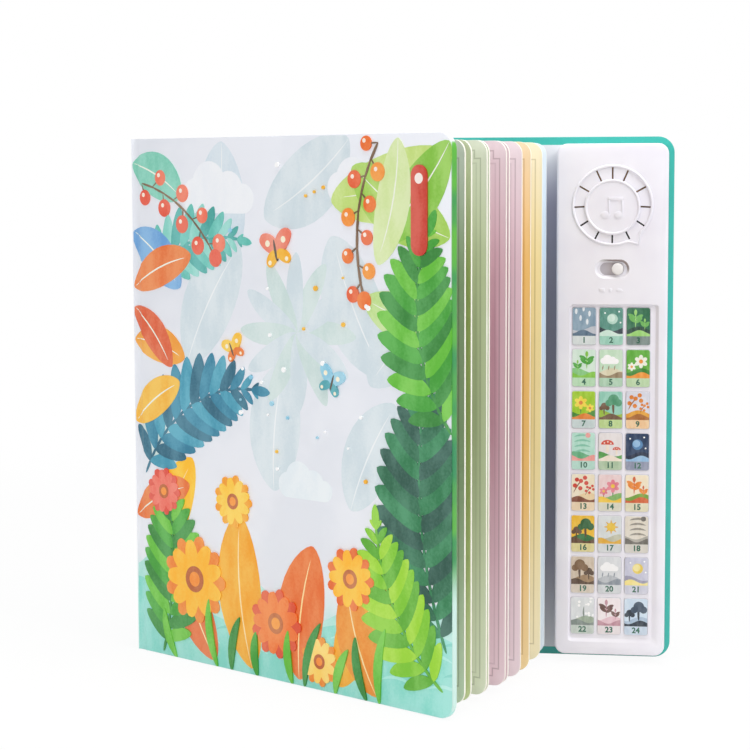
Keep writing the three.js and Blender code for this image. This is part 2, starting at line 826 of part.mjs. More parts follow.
function upright(geometry, x, y, z, up) {
  geometry.rotateX(up ? Math.PI / 2 : -Math.PI / 2);
  geometry.translate(x, y, z);
  return solid(geometry);
}

function cell(i) {
  const { x, up } = cellPlace(i);
  const body = cellLength - cellNubHeight;
  const points = [
    [0, 0],
    [cellRadius - cellEdge, 0],
    [cellRadius, cellEdge],
    [cellRadius, body - cellEdge],
    [cellRadius - cellEdge, body],
    [cellNubRadius, body],
    [cellNubRadius, cellLength],
    [0, cellLength],
  ].map(([r, h]) => new THREE.Vector2(r, h));
  const springEnd = springLength + 2 * contactGap;
  const z = up ? bayBottom + springEnd : bayTop - springEnd;
  return upright(new THREE.LatheGeometry(points, roundSides), x, cellY, z, up);
}

function batterySpring(i) {
  const { x, up } = cellPlace(i);
  const height = springLength - 2 * springWire;
  class CoilPath extends THREE.Curve {
    getPoint(t, target = new THREE.Vector3()) {
      const angle = 2 * Math.PI * springTurns * t;
      const radius = springRadius + (springTopRadius - springRadius) * t;
      return target.set(radius * Math.cos(angle), springWire + height * t, radius * Math.sin(angle));
    }
  }
  const wire = new THREE.Shape();
  wire.absarc(0, 0, springWire, 0, 2 * Math.PI, false);
  const geometry = new THREE.ExtrudeGeometry(wire, {
    steps: springTurns * 10,
    curveSegments: 3,
    extrudePath: new CoilPath(),
    bevelEnabled: false,
  });
  const z = up ? bayBottom + contactGap : bayTop - contactGap;
  return upright(geometry, x, cellY, z, up);
}

function batteryContact(i) {
  const { x, up } = cellPlace(i);
  const height = springLength + cellLength + 3 * contactGap;
  const near = up ? bayBottom + height : bayTop - height;
  const far = up ? near + contactThickness : near - contactThickness;
  const half = contactSize / 2;
  return box(x - half, x + half, cellY - half, cellY + half, near, far);
}

// Electronics
const boardLeft = moduleLeft + boardSideInset;
const boardRight = moduleRight - boardSideInset;
const boardTop = switchCentreZ + boardTopPastSwitch;
const stemSlotHalf = switchKnobTravel / 2 + sliderStem / 2 + switchGap;

function stemSlot(y0, y1) {
  const half = sliderStem / 2 + switchGap;
  const left = moduleCentreX - stemSlotHalf;
  const right = moduleCentreX + stemSlotHalf;
  return box(left, right, y0, y1, switchCentreZ - half, switchCentreZ + half);
}

function circuitBoard() {
  const outline = roundedOutline(boardLeft, boardRight, boardBottom, boardTop, 1);
  return cut(slab(outline, boardBackY, boardFrontY), stemSlot(boardBackY + through, boardFrontY - through));
}

function contactMat() {
  const top = keyFieldTop + keyFlange;
  const sheet = slab(
    roundedOutline(boardLeft, boardRight, lastKeyBottom - keyFlange, top, 1), matBackY, matFrontY);
  const domes = eachKey((column, row) => {
    const [x, z] = keyCentre(column, row);
    const profile = [
      [0, matBackY - matSheet / 2],
      [domeRadius, matBackY - matSheet / 2],
      [domeRadius, matFrontY],
      [domeTopRadius, matFrontY - domeHeight],
      [0, matFrontY - domeHeight],
    ];
    return turned(profile, x, z, 8);
  });
  return join(sheet, ...domes);
}

function soundChip() {
  const steps = 4;
  const back = bayFrontY;
  const profile = [[0, back]];
  for (let i = 0; i <= steps; i++) {
    const angle = (Math.PI / 2) * (i / steps);
    profile.push([chipRadius * Math.cos(angle), back + chipHeight * Math.sin(angle)]);
  }
  profile[profile.length - 1][0] = 0;
  return turned(profile, moduleCentreX, chipZ, 16);
}

function slideSwitchBody() {
  const front = boardBackY + glueLine;
  const body = box(
    moduleCentreX - switchBodyLength / 2,
    moduleCentreX + switchBodyLength / 2,
    front,
    front + switchBodyDepth,
    switchCentreZ - switchBodyHeight / 2,
    switchCentreZ + switchBodyHeight / 2,
  );
  return cut(body, stemSlot(front - through, front + sliderStemDepth + partClearance));
}

function switchKnob() {
  const x = moduleCentreX + switchKnobTravel / 2;
  const plateFront = faceY + switchRecessDepth + switchFloor + switchGap;
  const plateBack = plateFront + sliderPlateThickness;
  const top = faceY - switchKnobProud;
  const knob = turned(
    [
      [0, plateFront + 0.4],
      [switchKnobRadius, plateFront + 0.4],
      [switchKnobRadius, top + 0.5],
      [switchKnobRadius - 0.15, top + 0.15],
      [switchKnobRadius - 0.5, top],
      [0, top],
    ],
    x,
    switchCentreZ,
    24,
  );
  const plate = slab(
    roundedOutline(
      x - sliderPlateLength / 2,
      x + sliderPlateLength / 2,
      switchCentreZ - sliderPlateHeight / 2,
      switchCentreZ + sliderPlateHeight / 2,
      1,
    ),
    plateFront,
    plateBack,
  );
  const half = sliderStem / 2;
  const stem = box(
    x - half, x + half, plateBack - 0.4, boardBackY + glueLine + sliderStemDepth, switchCentreZ - half,
    switchCentreZ + half);
  return join(knob, plate, stem);
}

// Speaker
const clothFrontY = faceBackY + glueLine;
const basketFrontY = clothFrontY + clothThickness + glueLine;
const basketBackY = basketFrontY + basketDepth;

function speakerBasket() {
  const profile = [
    [speakerRadius, basketFrontY],
    [speakerRadius, basketFrontY + basketRim],
    [speakerRadius - basketShoulder, basketFrontY + basketRim],
    [basketBackRadius + basketWall, basketBackY],
    [basketHole, basketBackY],
    [basketHole, basketBackY - basketWall],
    [basketBackRadius, basketBackY - basketWall],
    [speakerRadius - basketSeat, basketFrontY + basketRim - sink],
    [speakerRadius - basketSeat, basketFrontY],
  ];
  return turned(profile, moduleCentreX, speakerCentreZ, 28);
}

function speakerCone() {
  const rim = speakerRadius - coneInset;
  const front = basketFrontY + slightGap;
  const roll = rim - coneRollWidth;
  const foot = roll - coneRollWidth + sink;
  const face = [
    [0, front + coneCapDepth],
    [coneCapRadius, front + coneCapDepth + coneRollFoot],
    [coneNeckRadius, front + coneNeckDepth],
    [foot, front + coneRollFoot],
    [roll, front],
    [rim, front + coneRollStep],
  ];
  const back = face.map(([radius, y]) => [radius, y + coneThickness]).reverse();
  return turned([...face, ...back], moduleCentreX, speakerCentreZ, 24);
}

function speakerMagnet() {
  const near = basketBackY + glueLine;
  const far = near + magnetHeight;
  return turned(
    [
      [0, near],
      [magnetRadius, near],
      [magnetRadius, far - magnetEdge],
      [magnetRadius - magnetEdge, far],
      [0, far],
    ],
    moduleCentreX,
    speakerCentreZ,
    24,
  );
}

// Assembly
const book = new THREE.Group();
book.position.set(-spineBoard / 2, bookThickness / 2, 0);
const frontGroup = new THREE.Group();
frontGroup.position.set(0, -bookThickness, 0);
frontGroup.rotation.z = -THREE.MathUtils.degToRad(openAngle);
book.add(frontGroup);

function place(name, body, material, group = book) {
  const mesh = new THREE.Mesh(geometryOf(body), material);
  mesh.name = name;
  group.add(mesh);
}

const cutOut = slab(doorOutline(2 * partClearance + collarWall), through, liningFrontY - through);

place("front_cover", cover(frontWidth, frontBoard, 1), printedPaper, frontGroup);
place("front_endpaper", lining(frontWidth, 1), whitePaper, frontGroup);
place("spine_board", spine(), tealPaper);
place("page_block", pageBlock(), leafBoard);
place("back_cover", cut(cover(backWidth, backBoard, -1), cutOut), tealPaper);
place("back_lining", cut(lining(backWidth, -1), cutOut), whitePaper);
place("module_housing", moduleHousing(), whiteShell);
place("module_base", moduleBase(), whiteShell);
place("battery_door", batteryDoor(), whiteShell);
place("battery_door_screw", screw(doorHeadY, moduleCentreX, doorScrewZ), screwSteel);
bossPlaces.forEach(([x, z], i) => place(`shell_screw_${i + 1}`, screw(screwHeadY, x, z), screwSteel));
for (let i = 0; i < cellCount; i++) {
  place(`battery_${i + 1}`, cell(i), cellJacket);
  place(`battery_spring_${i + 1}`, batterySpring(i), springSteel);
  place(`battery_contact_${i + 1}`, batteryContact(i), contactBrass);
}
place("circuit_board", circuitBoard(), greenBoard);
place("contact_mat", contactMat(), siliconeRubber);
place("sound_chip", soundChip(), blackPlastic);
place("slide_switch_body", slideSwitchBody(), blackPlastic);
place("switch_knob", switchKnob(), keyPlastic);
place("speaker_cloth", rod(speakerRadius + slightGap, clothFrontY, clothFrontY + clothThickness,
  moduleCentreX, speakerCentreZ, 28), speakerCloth);
place("speaker_basket", speakerBasket(), blackPlastic);
place("speaker_cone", speakerCone(), coneCard);
place("speaker_magnet", speakerMagnet(), springSteel);
eachKey((column, row) => {
  place(`key_row${row + 1}_column${column + 1}`, keyCap(column, row), keyPlastic);
});

export default book;
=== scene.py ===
# Upright sound book: a printed front cover, ten board leaves and a keypad module on the wide back cover.
import json
import math
import random

import bmesh
import bpy
from mathutils import Matrix, Vector

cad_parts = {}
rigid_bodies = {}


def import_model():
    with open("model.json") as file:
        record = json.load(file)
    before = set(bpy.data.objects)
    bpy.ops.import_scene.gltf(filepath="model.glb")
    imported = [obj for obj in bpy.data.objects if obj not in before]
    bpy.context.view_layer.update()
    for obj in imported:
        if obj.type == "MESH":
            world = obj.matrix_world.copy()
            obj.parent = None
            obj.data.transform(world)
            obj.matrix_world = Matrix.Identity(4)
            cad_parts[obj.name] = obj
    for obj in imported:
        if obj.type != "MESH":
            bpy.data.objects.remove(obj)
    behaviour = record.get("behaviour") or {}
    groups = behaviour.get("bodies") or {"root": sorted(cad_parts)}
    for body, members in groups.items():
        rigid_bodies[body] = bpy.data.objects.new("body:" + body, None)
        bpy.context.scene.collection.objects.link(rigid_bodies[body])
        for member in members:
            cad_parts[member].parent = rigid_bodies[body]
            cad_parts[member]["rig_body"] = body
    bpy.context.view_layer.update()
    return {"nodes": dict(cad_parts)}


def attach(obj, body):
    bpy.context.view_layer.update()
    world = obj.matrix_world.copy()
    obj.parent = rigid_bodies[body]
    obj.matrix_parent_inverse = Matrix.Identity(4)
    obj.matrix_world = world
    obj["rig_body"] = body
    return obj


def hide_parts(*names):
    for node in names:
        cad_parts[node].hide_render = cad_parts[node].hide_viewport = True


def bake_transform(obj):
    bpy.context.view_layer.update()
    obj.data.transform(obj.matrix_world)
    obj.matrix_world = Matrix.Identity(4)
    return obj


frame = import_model()
scene = bpy.context.scene
scene.view_settings.view_transform = "Standard"
draw = random.Random(24)

# Book coordinates are in millimetres: hinge edge at x 0, back cover's outer face at y 0
book = {
    "height": 260.0,
    "thickness": 18.2,
    "frontWidth": 211.8,
    "openAngle": 34.3,
    "cornerRadius": 8.0,
    "spineHalf": 1.25,
    "moduleFaceY": -18.5,
}
toBook = Matrix.Scale(0.001, 4) @ Matrix.Translation((-book["spineHalf"], book["thickness"] / 2, 0))
turnOut = Matrix.Rotation(-math.radians(book["openAngle"]), 4, "Z")
toFront = toBook @ Matrix.Translation((0, -book["thickness"], 0)) @ turnOut
faceReader = Matrix.Rotation(math.radians(90), 4, "X")  # drawings in XY stand up and face -Y


# Camera
camera = {
    "place": (0.26592, -1.00817, 0.24037),
    "yaw": 8.196,
    "pitch": 5.542,
    "roll": -0.208,
    "lens": 97.65,
}


def makeCamera():
    yaw, pitch, roll = (math.radians(camera[key]) for key in ("yaw", "pitch", "roll"))
    turn = Matrix.Rotation(yaw, 4, "Z") @ Matrix.Rotation(math.pi / 2 - pitch, 4, "X")
    data = bpy.data.cameras.new("photo_camera")
    data.lens = camera["lens"]
    data.sensor_width = 36
    data.clip_start = 0.05
    made = bpy.data.objects.new("photo_camera", data)
    made.matrix_world = Matrix.Translation(camera["place"]) @ turn @ Matrix.Rotation(roll, 4, "Z")
    scene.collection.objects.link(made)
    scene.camera = made


makeCamera()
print("camera placed")


# Shader recipes
class Value:
    # a socket that takes part in sums
    def __init__(self, recipe, socket):
        self.recipe = recipe
        self.socket = socket

    def __add__(self, other):
        return self.recipe.work("ADD", self, other)

    def __radd__(self, other):
        return self.recipe.work("ADD", other, self)

    def __sub__(self, other):
        return self.recipe.work("SUBTRACT", self, other)

    def __rsub__(self, other):
        return self.recipe.work("SUBTRACT", other, self)

    def __mul__(self, other):
        return self.recipe.work("MULTIPLY", self, other)

    def __rmul__(self, other):
        return self.recipe.work("MULTIPLY", other, self)


class Recipe:
    # the nodes of one material, or of the world
    def __init__(self, name, world=False):
        blocks = bpy.data.worlds if world else bpy.data.materials
        self.owner = blocks.new(name)
        self.owner.use_nodes = True
        self.tree = self.owner.node_tree
        self.tree.nodes.clear()

    def node(self, kind, settings=None, inputs=None, out=0):
        made = self.tree.nodes.new(kind)
        for key, value in (settings or {}).items():
            setattr(made, key, value)
        for key, value in (inputs or {}).items():
            if isinstance(value, Value):
                self.tree.links.new(value.socket, made.inputs[key])
            else:
                made.inputs[key].default_value = value
        return Value(self, made.outputs[out])

    def work(self, operation, *parts):
        return self.node("ShaderNodeMath", {"operation": operation}, dict(enumerate(parts)))

    def place(self, kind="Object"):
        # coordinates in millimetres
        spot = self.node("ShaderNodeTexCoord", out=kind)
        return self.node("ShaderNodeVectorMath", {"operation": "SCALE"}, {0: spot, "Scale": 1000.0})

    def axes(self, vector):
        first = self.node("ShaderNodeSeparateXYZ", None, {0: vector})
        return [Value(self, socket) for socket in first.socket.node.outputs]

    def noise(self, vector, scale, detail=2.0, stretch=(1, 1, 1)):
        spot = self.node("ShaderNodeMapping", None, {"Vector": vector, "Scale": stretch})
        return self.node("ShaderNodeTexNoise", None, {"Vector": spot, "Scale": scale, "Detail": detail})

    def soft(self, value, low, high):
        # 0 below low, 1 above high, smooth between
        return self.node(
            "ShaderNodeMapRange",
            {"interpolation_type": "SMOOTHSTEP"},
            {"Value": value, "From Min": low, "From Max": high},
        )

    def mix(self, factor, first, second):
        return self.node("ShaderNodeMix", {"data_type": "RGBA"}, {0: factor, 6: first, 7: second}, out=2)

    def bump(self, height, distance, strength=0.4):
        # distance in millimetres
        return self.node(
            "ShaderNodeBump", None, {"Strength": strength, "Distance": distance / 1000, "Height": height}
        )

    def finish(self, base, roughness, normal=None, metallic=0.0, coat=0.0, sheen=0.0):
        inputs = {"Base Color": base, "Roughness": roughness, "Metallic": metallic}
        if normal:
            inputs["Normal"] = normal
        shader = self.node("ShaderNodeBsdfPrincipled", None, inputs)
        sockets = shader.socket.node.inputs
        sockets["Coat Weight"].default_value = coat
        sockets["Sheen Weight"].default_value = sheen
        return self.close(shader)

    def close(self, surface, kind="ShaderNodeOutputMaterial"):
        output = self.tree.nodes.new(kind)
        self.tree.links.new(surface.socket, output.inputs["Surface"])
        return self.owner


def shade(code):
    # linear colour of a written #rrggbb
    parts = [int(code[index:index + 2], 16) / 255 for index in (1, 3, 5)]
    linear = [part / 12.92 if part <= 0.04045 else ((part + 0.055) / 1.055) ** 2.4 for part in parts]
    return (*linear, 1.0)


def paper(name, base, darker, roughness, grain, coat=0.0):
    recipe = Recipe(name)
    spot = recipe.place()
    mottle = recipe.noise(spot, 0.035, 3)
    fibre = recipe.noise(spot, 1.6, 4)
    tone = recipe.mix(recipe.soft(mottle * 0.7 + fibre * 0.3, 0.35, 0.65), shade(darker), shade(base))
    rough = roughness + (fibre - 0.5) * 0.12
    return recipe.finish(tone, rough, recipe.bump(fibre, grain), coat=coat)


def plastic(name, base, darker, roughness, grain=0.02):
    recipe = Recipe(name)
    spot = recipe.place()
    mottle = recipe.noise(spot, 0.05, 2)
    spark = recipe.noise(spot, 2.4, 3)
    tone = recipe.mix(recipe.soft(mottle, 0.3, 0.7), shade(darker), shade(base))
    rough = roughness + (spark - 0.5) * 0.14
    return recipe.finish(tone, rough, recipe.bump(spark, grain, 0.3))


def metal(name, base, darker, roughness=0.3):
    recipe = Recipe(name)
    spot = recipe.place()
    brushed = recipe.noise(spot, 0.8, 3, (1, 1, 14))
    tone = recipe.mix(brushed, shade(darker), shade(base))
    rough = roughness + (brushed - 0.5) * 0.2
    return recipe.finish(tone, rough, recipe.bump(brushed, 0.01), metallic=1.0)


liningLook = {
    "paper": "#f6f7fb",
    "paintedShadow": "#b4b5c8",
    "fadeLow": (2, 70),
    "fadeHigh": (256, 225),
    "fadeAcross": (184, 206),
}


def liningSheet():
    # white paper, with a painted shadow beside the module that fades toward the top and bottom
    recipe = Recipe("white_lining_paper")
    spot = recipe.place()
    x, y, z = recipe.axes(spot)
    fibre = recipe.noise(spot, 1.6, 4)
    # painted shadow mask: beside the module, away from the top and bottom
    shadowUpright = recipe.soft(z, *liningLook["fadeLow"]) * recipe.soft(z, *liningLook["fadeHigh"])
    shadowMask = shadowUpright * recipe.soft(x, *liningLook["fadeAcross"])
    tone = recipe.mix(shadowMask, shade(liningLook["paper"]), shade(liningLook["paintedShadow"]))
    return recipe.finish(tone, 0.6 + (fibre - 0.5) * 0.12, recipe.bump(fibre, 0.03))


coverLook = {
    "ground": "#eef0f7",
    "mist": "#e7eaf2",
    "low": "#b4ebe3",
    "foreEdge": "#5fb83c",
    "foreEdgeDeep": "#2b8f58",
    "foreEdgeLow": "#cfeee6",
    "waterLine": (52, 18),
    "edgeLine": (74, 50),
    "turnLine": (1.4, 0.6),
}


def frontCoverPaper():
    recipe = Recipe("printed_cover_paper")
    spot = recipe.place()
    x, y, z = recipe.axes(spot)
    angle = math.radians(book["openAngle"])
    across = (x + book["spineHalf"]) * math.cos(angle) - (y + book["thickness"] / 2) * math.sin(angle)
    wash = recipe.noise(spot, 0.018, 4)
    brush = recipe.noise(spot, 0.06, 4, (1, 1, 0.35))
    grain = recipe.noise(spot, 1.4, 4)
    tone = recipe.mix(recipe.soft(wash, 0.42, 0.62), shade(coverLook["ground"]), shade(coverLook["mist"]))
    low = recipe.soft(z + (brush - 0.5) * 40, *coverLook["waterLine"])
    tone = recipe.mix(low, tone, shade(coverLook["low"]))
    edge = recipe.mix(
        recipe.soft(recipe.noise(spot, 0.03, 2, (0, 0, 1)), 0.4, 0.6),
        shade(coverLook["foreEdge"]),
        shade(coverLook["foreEdgeDeep"]),
    )
    edge = recipe.mix(recipe.soft(z, *coverLook["edgeLine"]), edge, shade(coverLook["foreEdgeLow"]))
    # the paper turns round the fore edge in its own colour
    turned = recipe.soft(book["frontWidth"] - across, *coverLook["turnLine"])
    tone = recipe.mix(turned, tone, edge)
    return recipe.finish(tone, 0.4 + (grain - 0.5) * 0.1, recipe.bump(grain, 0.02), coat=0.15)


def inkPaint(name, streak, strength):
    # each printed shape carries its own colour, and the paint varies within it
    recipe = Recipe(name)
    spot = recipe.place()
    ink = recipe.node("ShaderNodeAttribute", {"attribute_name": "ink"}, out="Color")
    brush = recipe.noise(spot, streak, 4, (1, 1, 0.4))
    fine = recipe.noise(spot, streak * 9, 3)
    deep = recipe.node("ShaderNodeVectorMath", {"operation": "MULTIPLY"}, {0: ink, 1: ink})
    light = recipe.mix(strength * 0.5, ink, shade("#ffffff"))
    dark = recipe.mix(strength * 4, ink, deep)
    tone = recipe.mix(recipe.soft(brush * 0.8 + fine * 0.2, 0.36, 0.64), dark, light)
    return recipe.finish(tone, 0.42 + (fine - 0.5) * 0.1, recipe.bump(fine, 0.01), coat=0.12)


def leafPaper(name, tint, second):
    # the frame line has a notched corner, drawn from the leaf's own width and height
    recipe = Recipe(name)
    spot = recipe.place("UV")
    fromHinge, height, spare = recipe.axes(spot)
    inward = leaf["freeWidth"] - fromHinge
    low = recipe.work("MINIMUM", height, leaf["height"] - height)

    def inside(margin, rise):
        return recipe.work("MINIMUM", inward - leaf[margin], low - leaf[rise])

    # two rectangles meet in a stepped corner
    step = recipe.work("MAXIMUM", inside("frameMargin", "notchRise"), inside("notchMargin", "frameRise"))
    line = 1 - recipe.soft(recipe.work("ABSOLUTE", step), 0.12, 0.5)
    faint = 1 - recipe.soft(recipe.work("ABSOLUTE", step - leaf["secondLine"]), 0.1, 0.6)
    wash = recipe.noise(spot, 0.02, 3, (1, 0.3, 1))
    brush = recipe.noise(spot, 0.3, 3, (1, 0.06, 1))
    streak = recipe.soft(recipe.noise(spot, 0.42, 2, (1, 0.004, 1)), 0.48, 0.6)
    grain = recipe.noise(spot, 2.0, 3)
    # painted light: the print is paler toward both ends and brighter toward the foot, where more light falls
    parts = shade(tint)[:3]
    endLight = [0.5 + part * 0.5 for part in parts] + [1.0]
    footLight = [max(parts) ** 0.25 * (part / max(parts)) ** 0.6 for part in parts] + [1.0]
    ruled = [part * 0.45 for part in shade(second)[:3]] + [1.0]
    field = recipe.soft(step, 0, 1.5) * recipe.soft(wash * 0.5 + brush * 0.5, 0.38, 0.62)
    tone = recipe.mix(field * 0.6, shade(tint), shade(second))
    tone = recipe.mix(streak * 0.22, tone, shade(second))
    tone = recipe.mix(recipe.soft(low, *leaf["endLightFade"]) * leaf["endLightShare"], tone, endLight)
    tone = recipe.mix(recipe.soft(height, *leaf["footLightFade"]) * leaf["footLightShare"], tone, footLight)
    tone = recipe.mix(faint * 0.2, tone, ruled)
    tone = recipe.mix(line * 0.42, tone, ruled)
    return recipe.finish(tone, 0.45 + (grain - 0.5) * 0.1, recipe.bump(grain, 0.015))


# Leaves, front one first
leaf = {
    "hingeX": 7.0,
    "firstY": -14.4,
    "pitch": 1.115,
    "thickness": 1.1,
    "freeWidth": 201.3,
    "bottom": 3.0,
    "height": 254.0,
    "cornerRadius": 6.0,
    "edgeRound": 0.16,
    "foldReach": 6.0,
    "foldSteps": 14,
    "bendHalf": 1.6,
    "panelLap": 0.3,
    "gutterLap": 0.6,
    "gutterLeft": 2.8,
    "gutterRight": 5.2,
    "angles": [31.6, 30.3, 26.8, 26.3, 21.8, 21.0, 16.8, 13.3, 7.0, 3.1],
    "tints": [
        "#93ac7f", "#aec076", "#ced8b2", "#c8d3aa", "#dfbec6", "#d9b5be", "#e8cdd4", "#f5cf80", "#f3e2aa",
        "#dcecf8",
    ],
    "fields": [
        "#678a55", "#92a54f", "#b2c192", "#aebd8c", "#c795a3", "#bd8797", "#d0b0bd", "#e8ad4c", "#e4cb84",
        "#c6e0f6",
    ],
    "frameMargin": 3.3,
    "notchMargin": 6.5,
    "frameRise": 4.6,
    "notchRise": 8.2,
    "secondLine": 2.2,
    # painted light: how far and how much the leaf print lightens at its ends and foot
    "endLightFade": (66, 2),
    "endLightShare": 0.72,
    "footLightFade": (125, 8),
    "footLightShare": 0.75,
}

print("recipes ready")

tealPaper = paper("teal_cover_paper", "#3abbaf", "#37b6a9", 0.42, 0.05, 0.15)
liningPaper = liningSheet()
cutEdge = paper("leaf_cut_edge", "#fffdf4", "#f8f3e6", 0.7, 0.06)
coverPaper = frontCoverPaper()
coverInk = inkPaint("cover_ink", 0.09, 0.12)
keyInk = inkPaint("key_ink", 0.5, 0.08)
shellPlastic = plastic("white_shell_plastic", "#f3f1f8", "#eeebf4", 0.36)
keyCap = plastic("key_cap_plastic", "#f2f0f7", "#eceaf2", 0.34, 0.01)
knobPlastic = plastic("knob_plastic", "#f3f0ef", "#ebe8e8", 0.32, 0.01)
# painted shade: grey plastic standing for the shadow on the plate seen in the switch slot
slotShade = plastic("slot_shade_plastic", "#c9c3c9", "#bdb7be", 0.6)
blackPlastic = plastic("black_plastic", "#2c2c2f", "#232326", 0.5)
rubber = plastic("silicone_rubber", "#b9bdc3", "#aeb2b9", 0.75, 0.03)
maskGreen = plastic("solder_mask", "#2f7a4c", "#256a40", 0.35)
cellWrap = plastic("cell_wrap", "#3f7ea3", "#356f92", 0.25, 0.005)
screwSteel = metal("screw_steel", "#c9cbce", "#a9acb0")
springSteel = metal("spring_steel", "#d2d4d6", "#b4b7ba", 0.25)
magnetSteel = metal("magnet_steel", "#b5b7ba", "#999ca0", 0.35)
contactBrass = metal("contact_brass", "#d8b566", "#b8954a", 0.3)


def speakerWeave():
    recipe = Recipe("speaker_cloth")
    spot = recipe.place()
    x, y, z = recipe.axes(spot)
    weave = recipe.work("SINE", x * 12.0) * recipe.work("SINE", z * 12.0) * 0.5 + 0.5
    tone = recipe.mix(weave, shade("#4f3a29"), shade("#b08660"))
    # painted shade: below the speaker's middle the cloth turns near black, where the lower slots lie in
    # shadow
    tone = recipe.mix(recipe.soft(z, 231, 219), tone, shade("#1c1917"))
    return recipe.finish(tone, 0.9, recipe.bump(weave, 0.05), sheen=0.3)


clothWeave = speakerWeave()
coneCard = paper("cone_card", "#3b342f", "#2d2824", 0.9, 0.05)

nodeFinish = {
    "front_endpaper": liningPaper,
    "spine_board": tealPaper,
    "back_lining": liningPaper,
    "module_base": shellPlastic,
    "battery_door": shellPlastic,
    "battery_door_screw": screwSteel,
    "shell_screw": screwSteel,
    "battery_spring": springSteel,
    "battery_contact": contactBrass,
    "battery_1": cellWrap,
    "battery_2": cellWrap,
    "battery_3": cellWrap,
    "circuit_board": maskGreen,
    "contact_mat": rubber,
    "sound_chip": blackPlastic,
    "slide_switch_body": blackPlastic,
    "speaker_cloth": clothWeave,
    "speaker_basket": blackPlastic,
    "speaker_cone": coneCard,
    "speaker_magnet": magnetSteel,
    "key_row": keyCap,
    "front_cover": coverPaper,
    "back_cover": tealPaper,
    "module_housing": shellPlastic,
    "switch_knob": knobPlastic,
    "page_block": cutEdge,
}


def dressNodes():
    for name, node in frame["nodes"].items():
        start = max((key for key in nodeFinish if name.startswith(key)), key=len)
        node.data.materials.clear()
        node.data.materials.append(nodeFinish[start])


dressNodes()
print("nodes dressed")


# Pieces
def shadeSmooth(bm, smoothUnder):
    for face in bm.faces:
        face.smooth = True
    for edge in bm.edges:
        edge.smooth = len(edge.link_faces) == 2 and edge.calc_face_angle(0) < math.radians(smoothUnder)


def evaluated(piece):
    # the mesh of a curve, a text or a modified piece
    bpy.context.view_layer.update()
    return bpy.data.meshes.new_from_object(piece.evaluated_get(bpy.context.evaluated_depsgraph_get()))


def curveForm(curve, merge):
    holder = bpy.data.objects.new(curve.name, curve)
    scene.collection.objects.link(holder)
    mesh = evaluated(holder)
    bpy.data.objects.remove(holder)
    form = bmesh.new()
    form.from_mesh(mesh)
    bpy.data.meshes.remove(mesh)
    bmesh.ops.remove_doubles(form, verts=form.verts, dist=merge)
    return form


def pour(form, whole):
    # adds one bmesh to another
    mesh = bpy.data.meshes.new("part")
    form.to_mesh(mesh)
    whole.from_mesh(mesh)
    bpy.data.meshes.remove(mesh)


def thicken(form, up, down=0.0):
    # gives a flat form in XY its depth
    made = bmesh.ops.extrude_face_region(form, geom=form.faces[:])
    raised = [item for item in made["geom"] if isinstance(item, bmesh.types.BMVert)]
    bmesh.ops.translate(form, vec=(0, 0, up + down), verts=raised)
    bmesh.ops.translate(form, vec=(0, 0, -down), verts=form.verts)


def cutForm(form, spot, away, **options):
    everything = form.verts[:] + form.edges[:] + form.faces[:]
    bmesh.ops.bisect_plane(form, geom=everything, plane_co=(*spot, 0), plane_no=(*away, 0), **options)


def settle(name, bm, matrix, materials, smoothUnder=35, recalculate=True):
    # gives a finished bmesh its place and shading and makes it an object at the origin
    bmesh.ops.transform(bm, matrix=matrix, verts=bm.verts)
    if recalculate:
        bmesh.ops.recalc_face_normals(bm, faces=bm.faces)
    shadeSmooth(bm, smoothUnder)
    mesh = bpy.data.meshes.new(name)
    bm.to_mesh(mesh)
    bm.free()
    for material in materials:
        mesh.materials.append(material)
    piece = bpy.data.objects.new(name, mesh)
    scene.collection.objects.link(piece)
    return piece


def refine(nodeName, material):
    # a smooth-shaded double of a CAD node
    bm = bmesh.new()
    bm.from_mesh(frame["nodes"][nodeName].data)
    bmesh.ops.remove_doubles(bm, verts=bm.verts, dist=1e-6)
    bmesh.ops.dissolve_limit(bm, angle_limit=math.radians(0.4), verts=bm.verts, edges=bm.edges)
    body = frame["nodes"][nodeName]["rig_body"]
    piece = settle(nodeName + "_finish", bm, Matrix.Identity(4), [material])
    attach(piece, body)
    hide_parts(nodeName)
    return piece


refine("back_cover", tealPaper)
refine("front_cover", coverPaper)
slider = {"plateY": -0.0078}  # metres: the plate under the slot lies behind this
knob = refine("switch_knob", knobPlastic)
knob.data.materials.append(slotShade)
# painted shade: the faces behind the slot get the grey slot plastic, standing for the shadow there
for polygon in knob.data.polygons:
    if polygon.center.y > slider["plateY"]:
        polygon.material_index = 1
print("shells refined")


# Switch recess, a little longer at the face than its clearance needs
recess = {
    "centreX": 240.25,
    "centreZ": 195.6,
    "halfSlot": 3.75,
    "wide": 4.66,
    "narrow": 3.5,
    "depth": 1.4,
    "above": 0.3,
    "paintReach": (0.009, 0.0006, 0.005),  # metres from its middle
}


def recessPaint():
    # white, shaded on the slopes that turn from the light
    recipe = Recipe("recess_plastic")
    spot = recipe.place()
    x, y, z = recipe.axes(spot)
    spark = recipe.noise(spot, 2.4, 3)
    upward = (x - recess["centreX"] + book["spineHalf"]) * 0.4 + (z - recess["centreZ"])
    tone = recipe.mix(recipe.soft(upward, 0.5, 4.2), shade("#f0eef4"), shade("#a09594"))
    return recipe.finish(tone, 0.4 + (spark - 0.5) * 0.14, recipe.bump(spark, 0.02, 0.3))


def stadium(bm, reach, radius, lift):
    # a ring of points with round ends, at one height
    ring = bmesh.ops.create_circle(bm, cap_ends=False, radius=radius, segments=48)["verts"]
    for vert in ring:
        side = 1 if vert.co.x > 1e-6 else -1 if vert.co.x < -1e-6 else 0
        vert.co.x += side * reach
        vert.co.z = lift


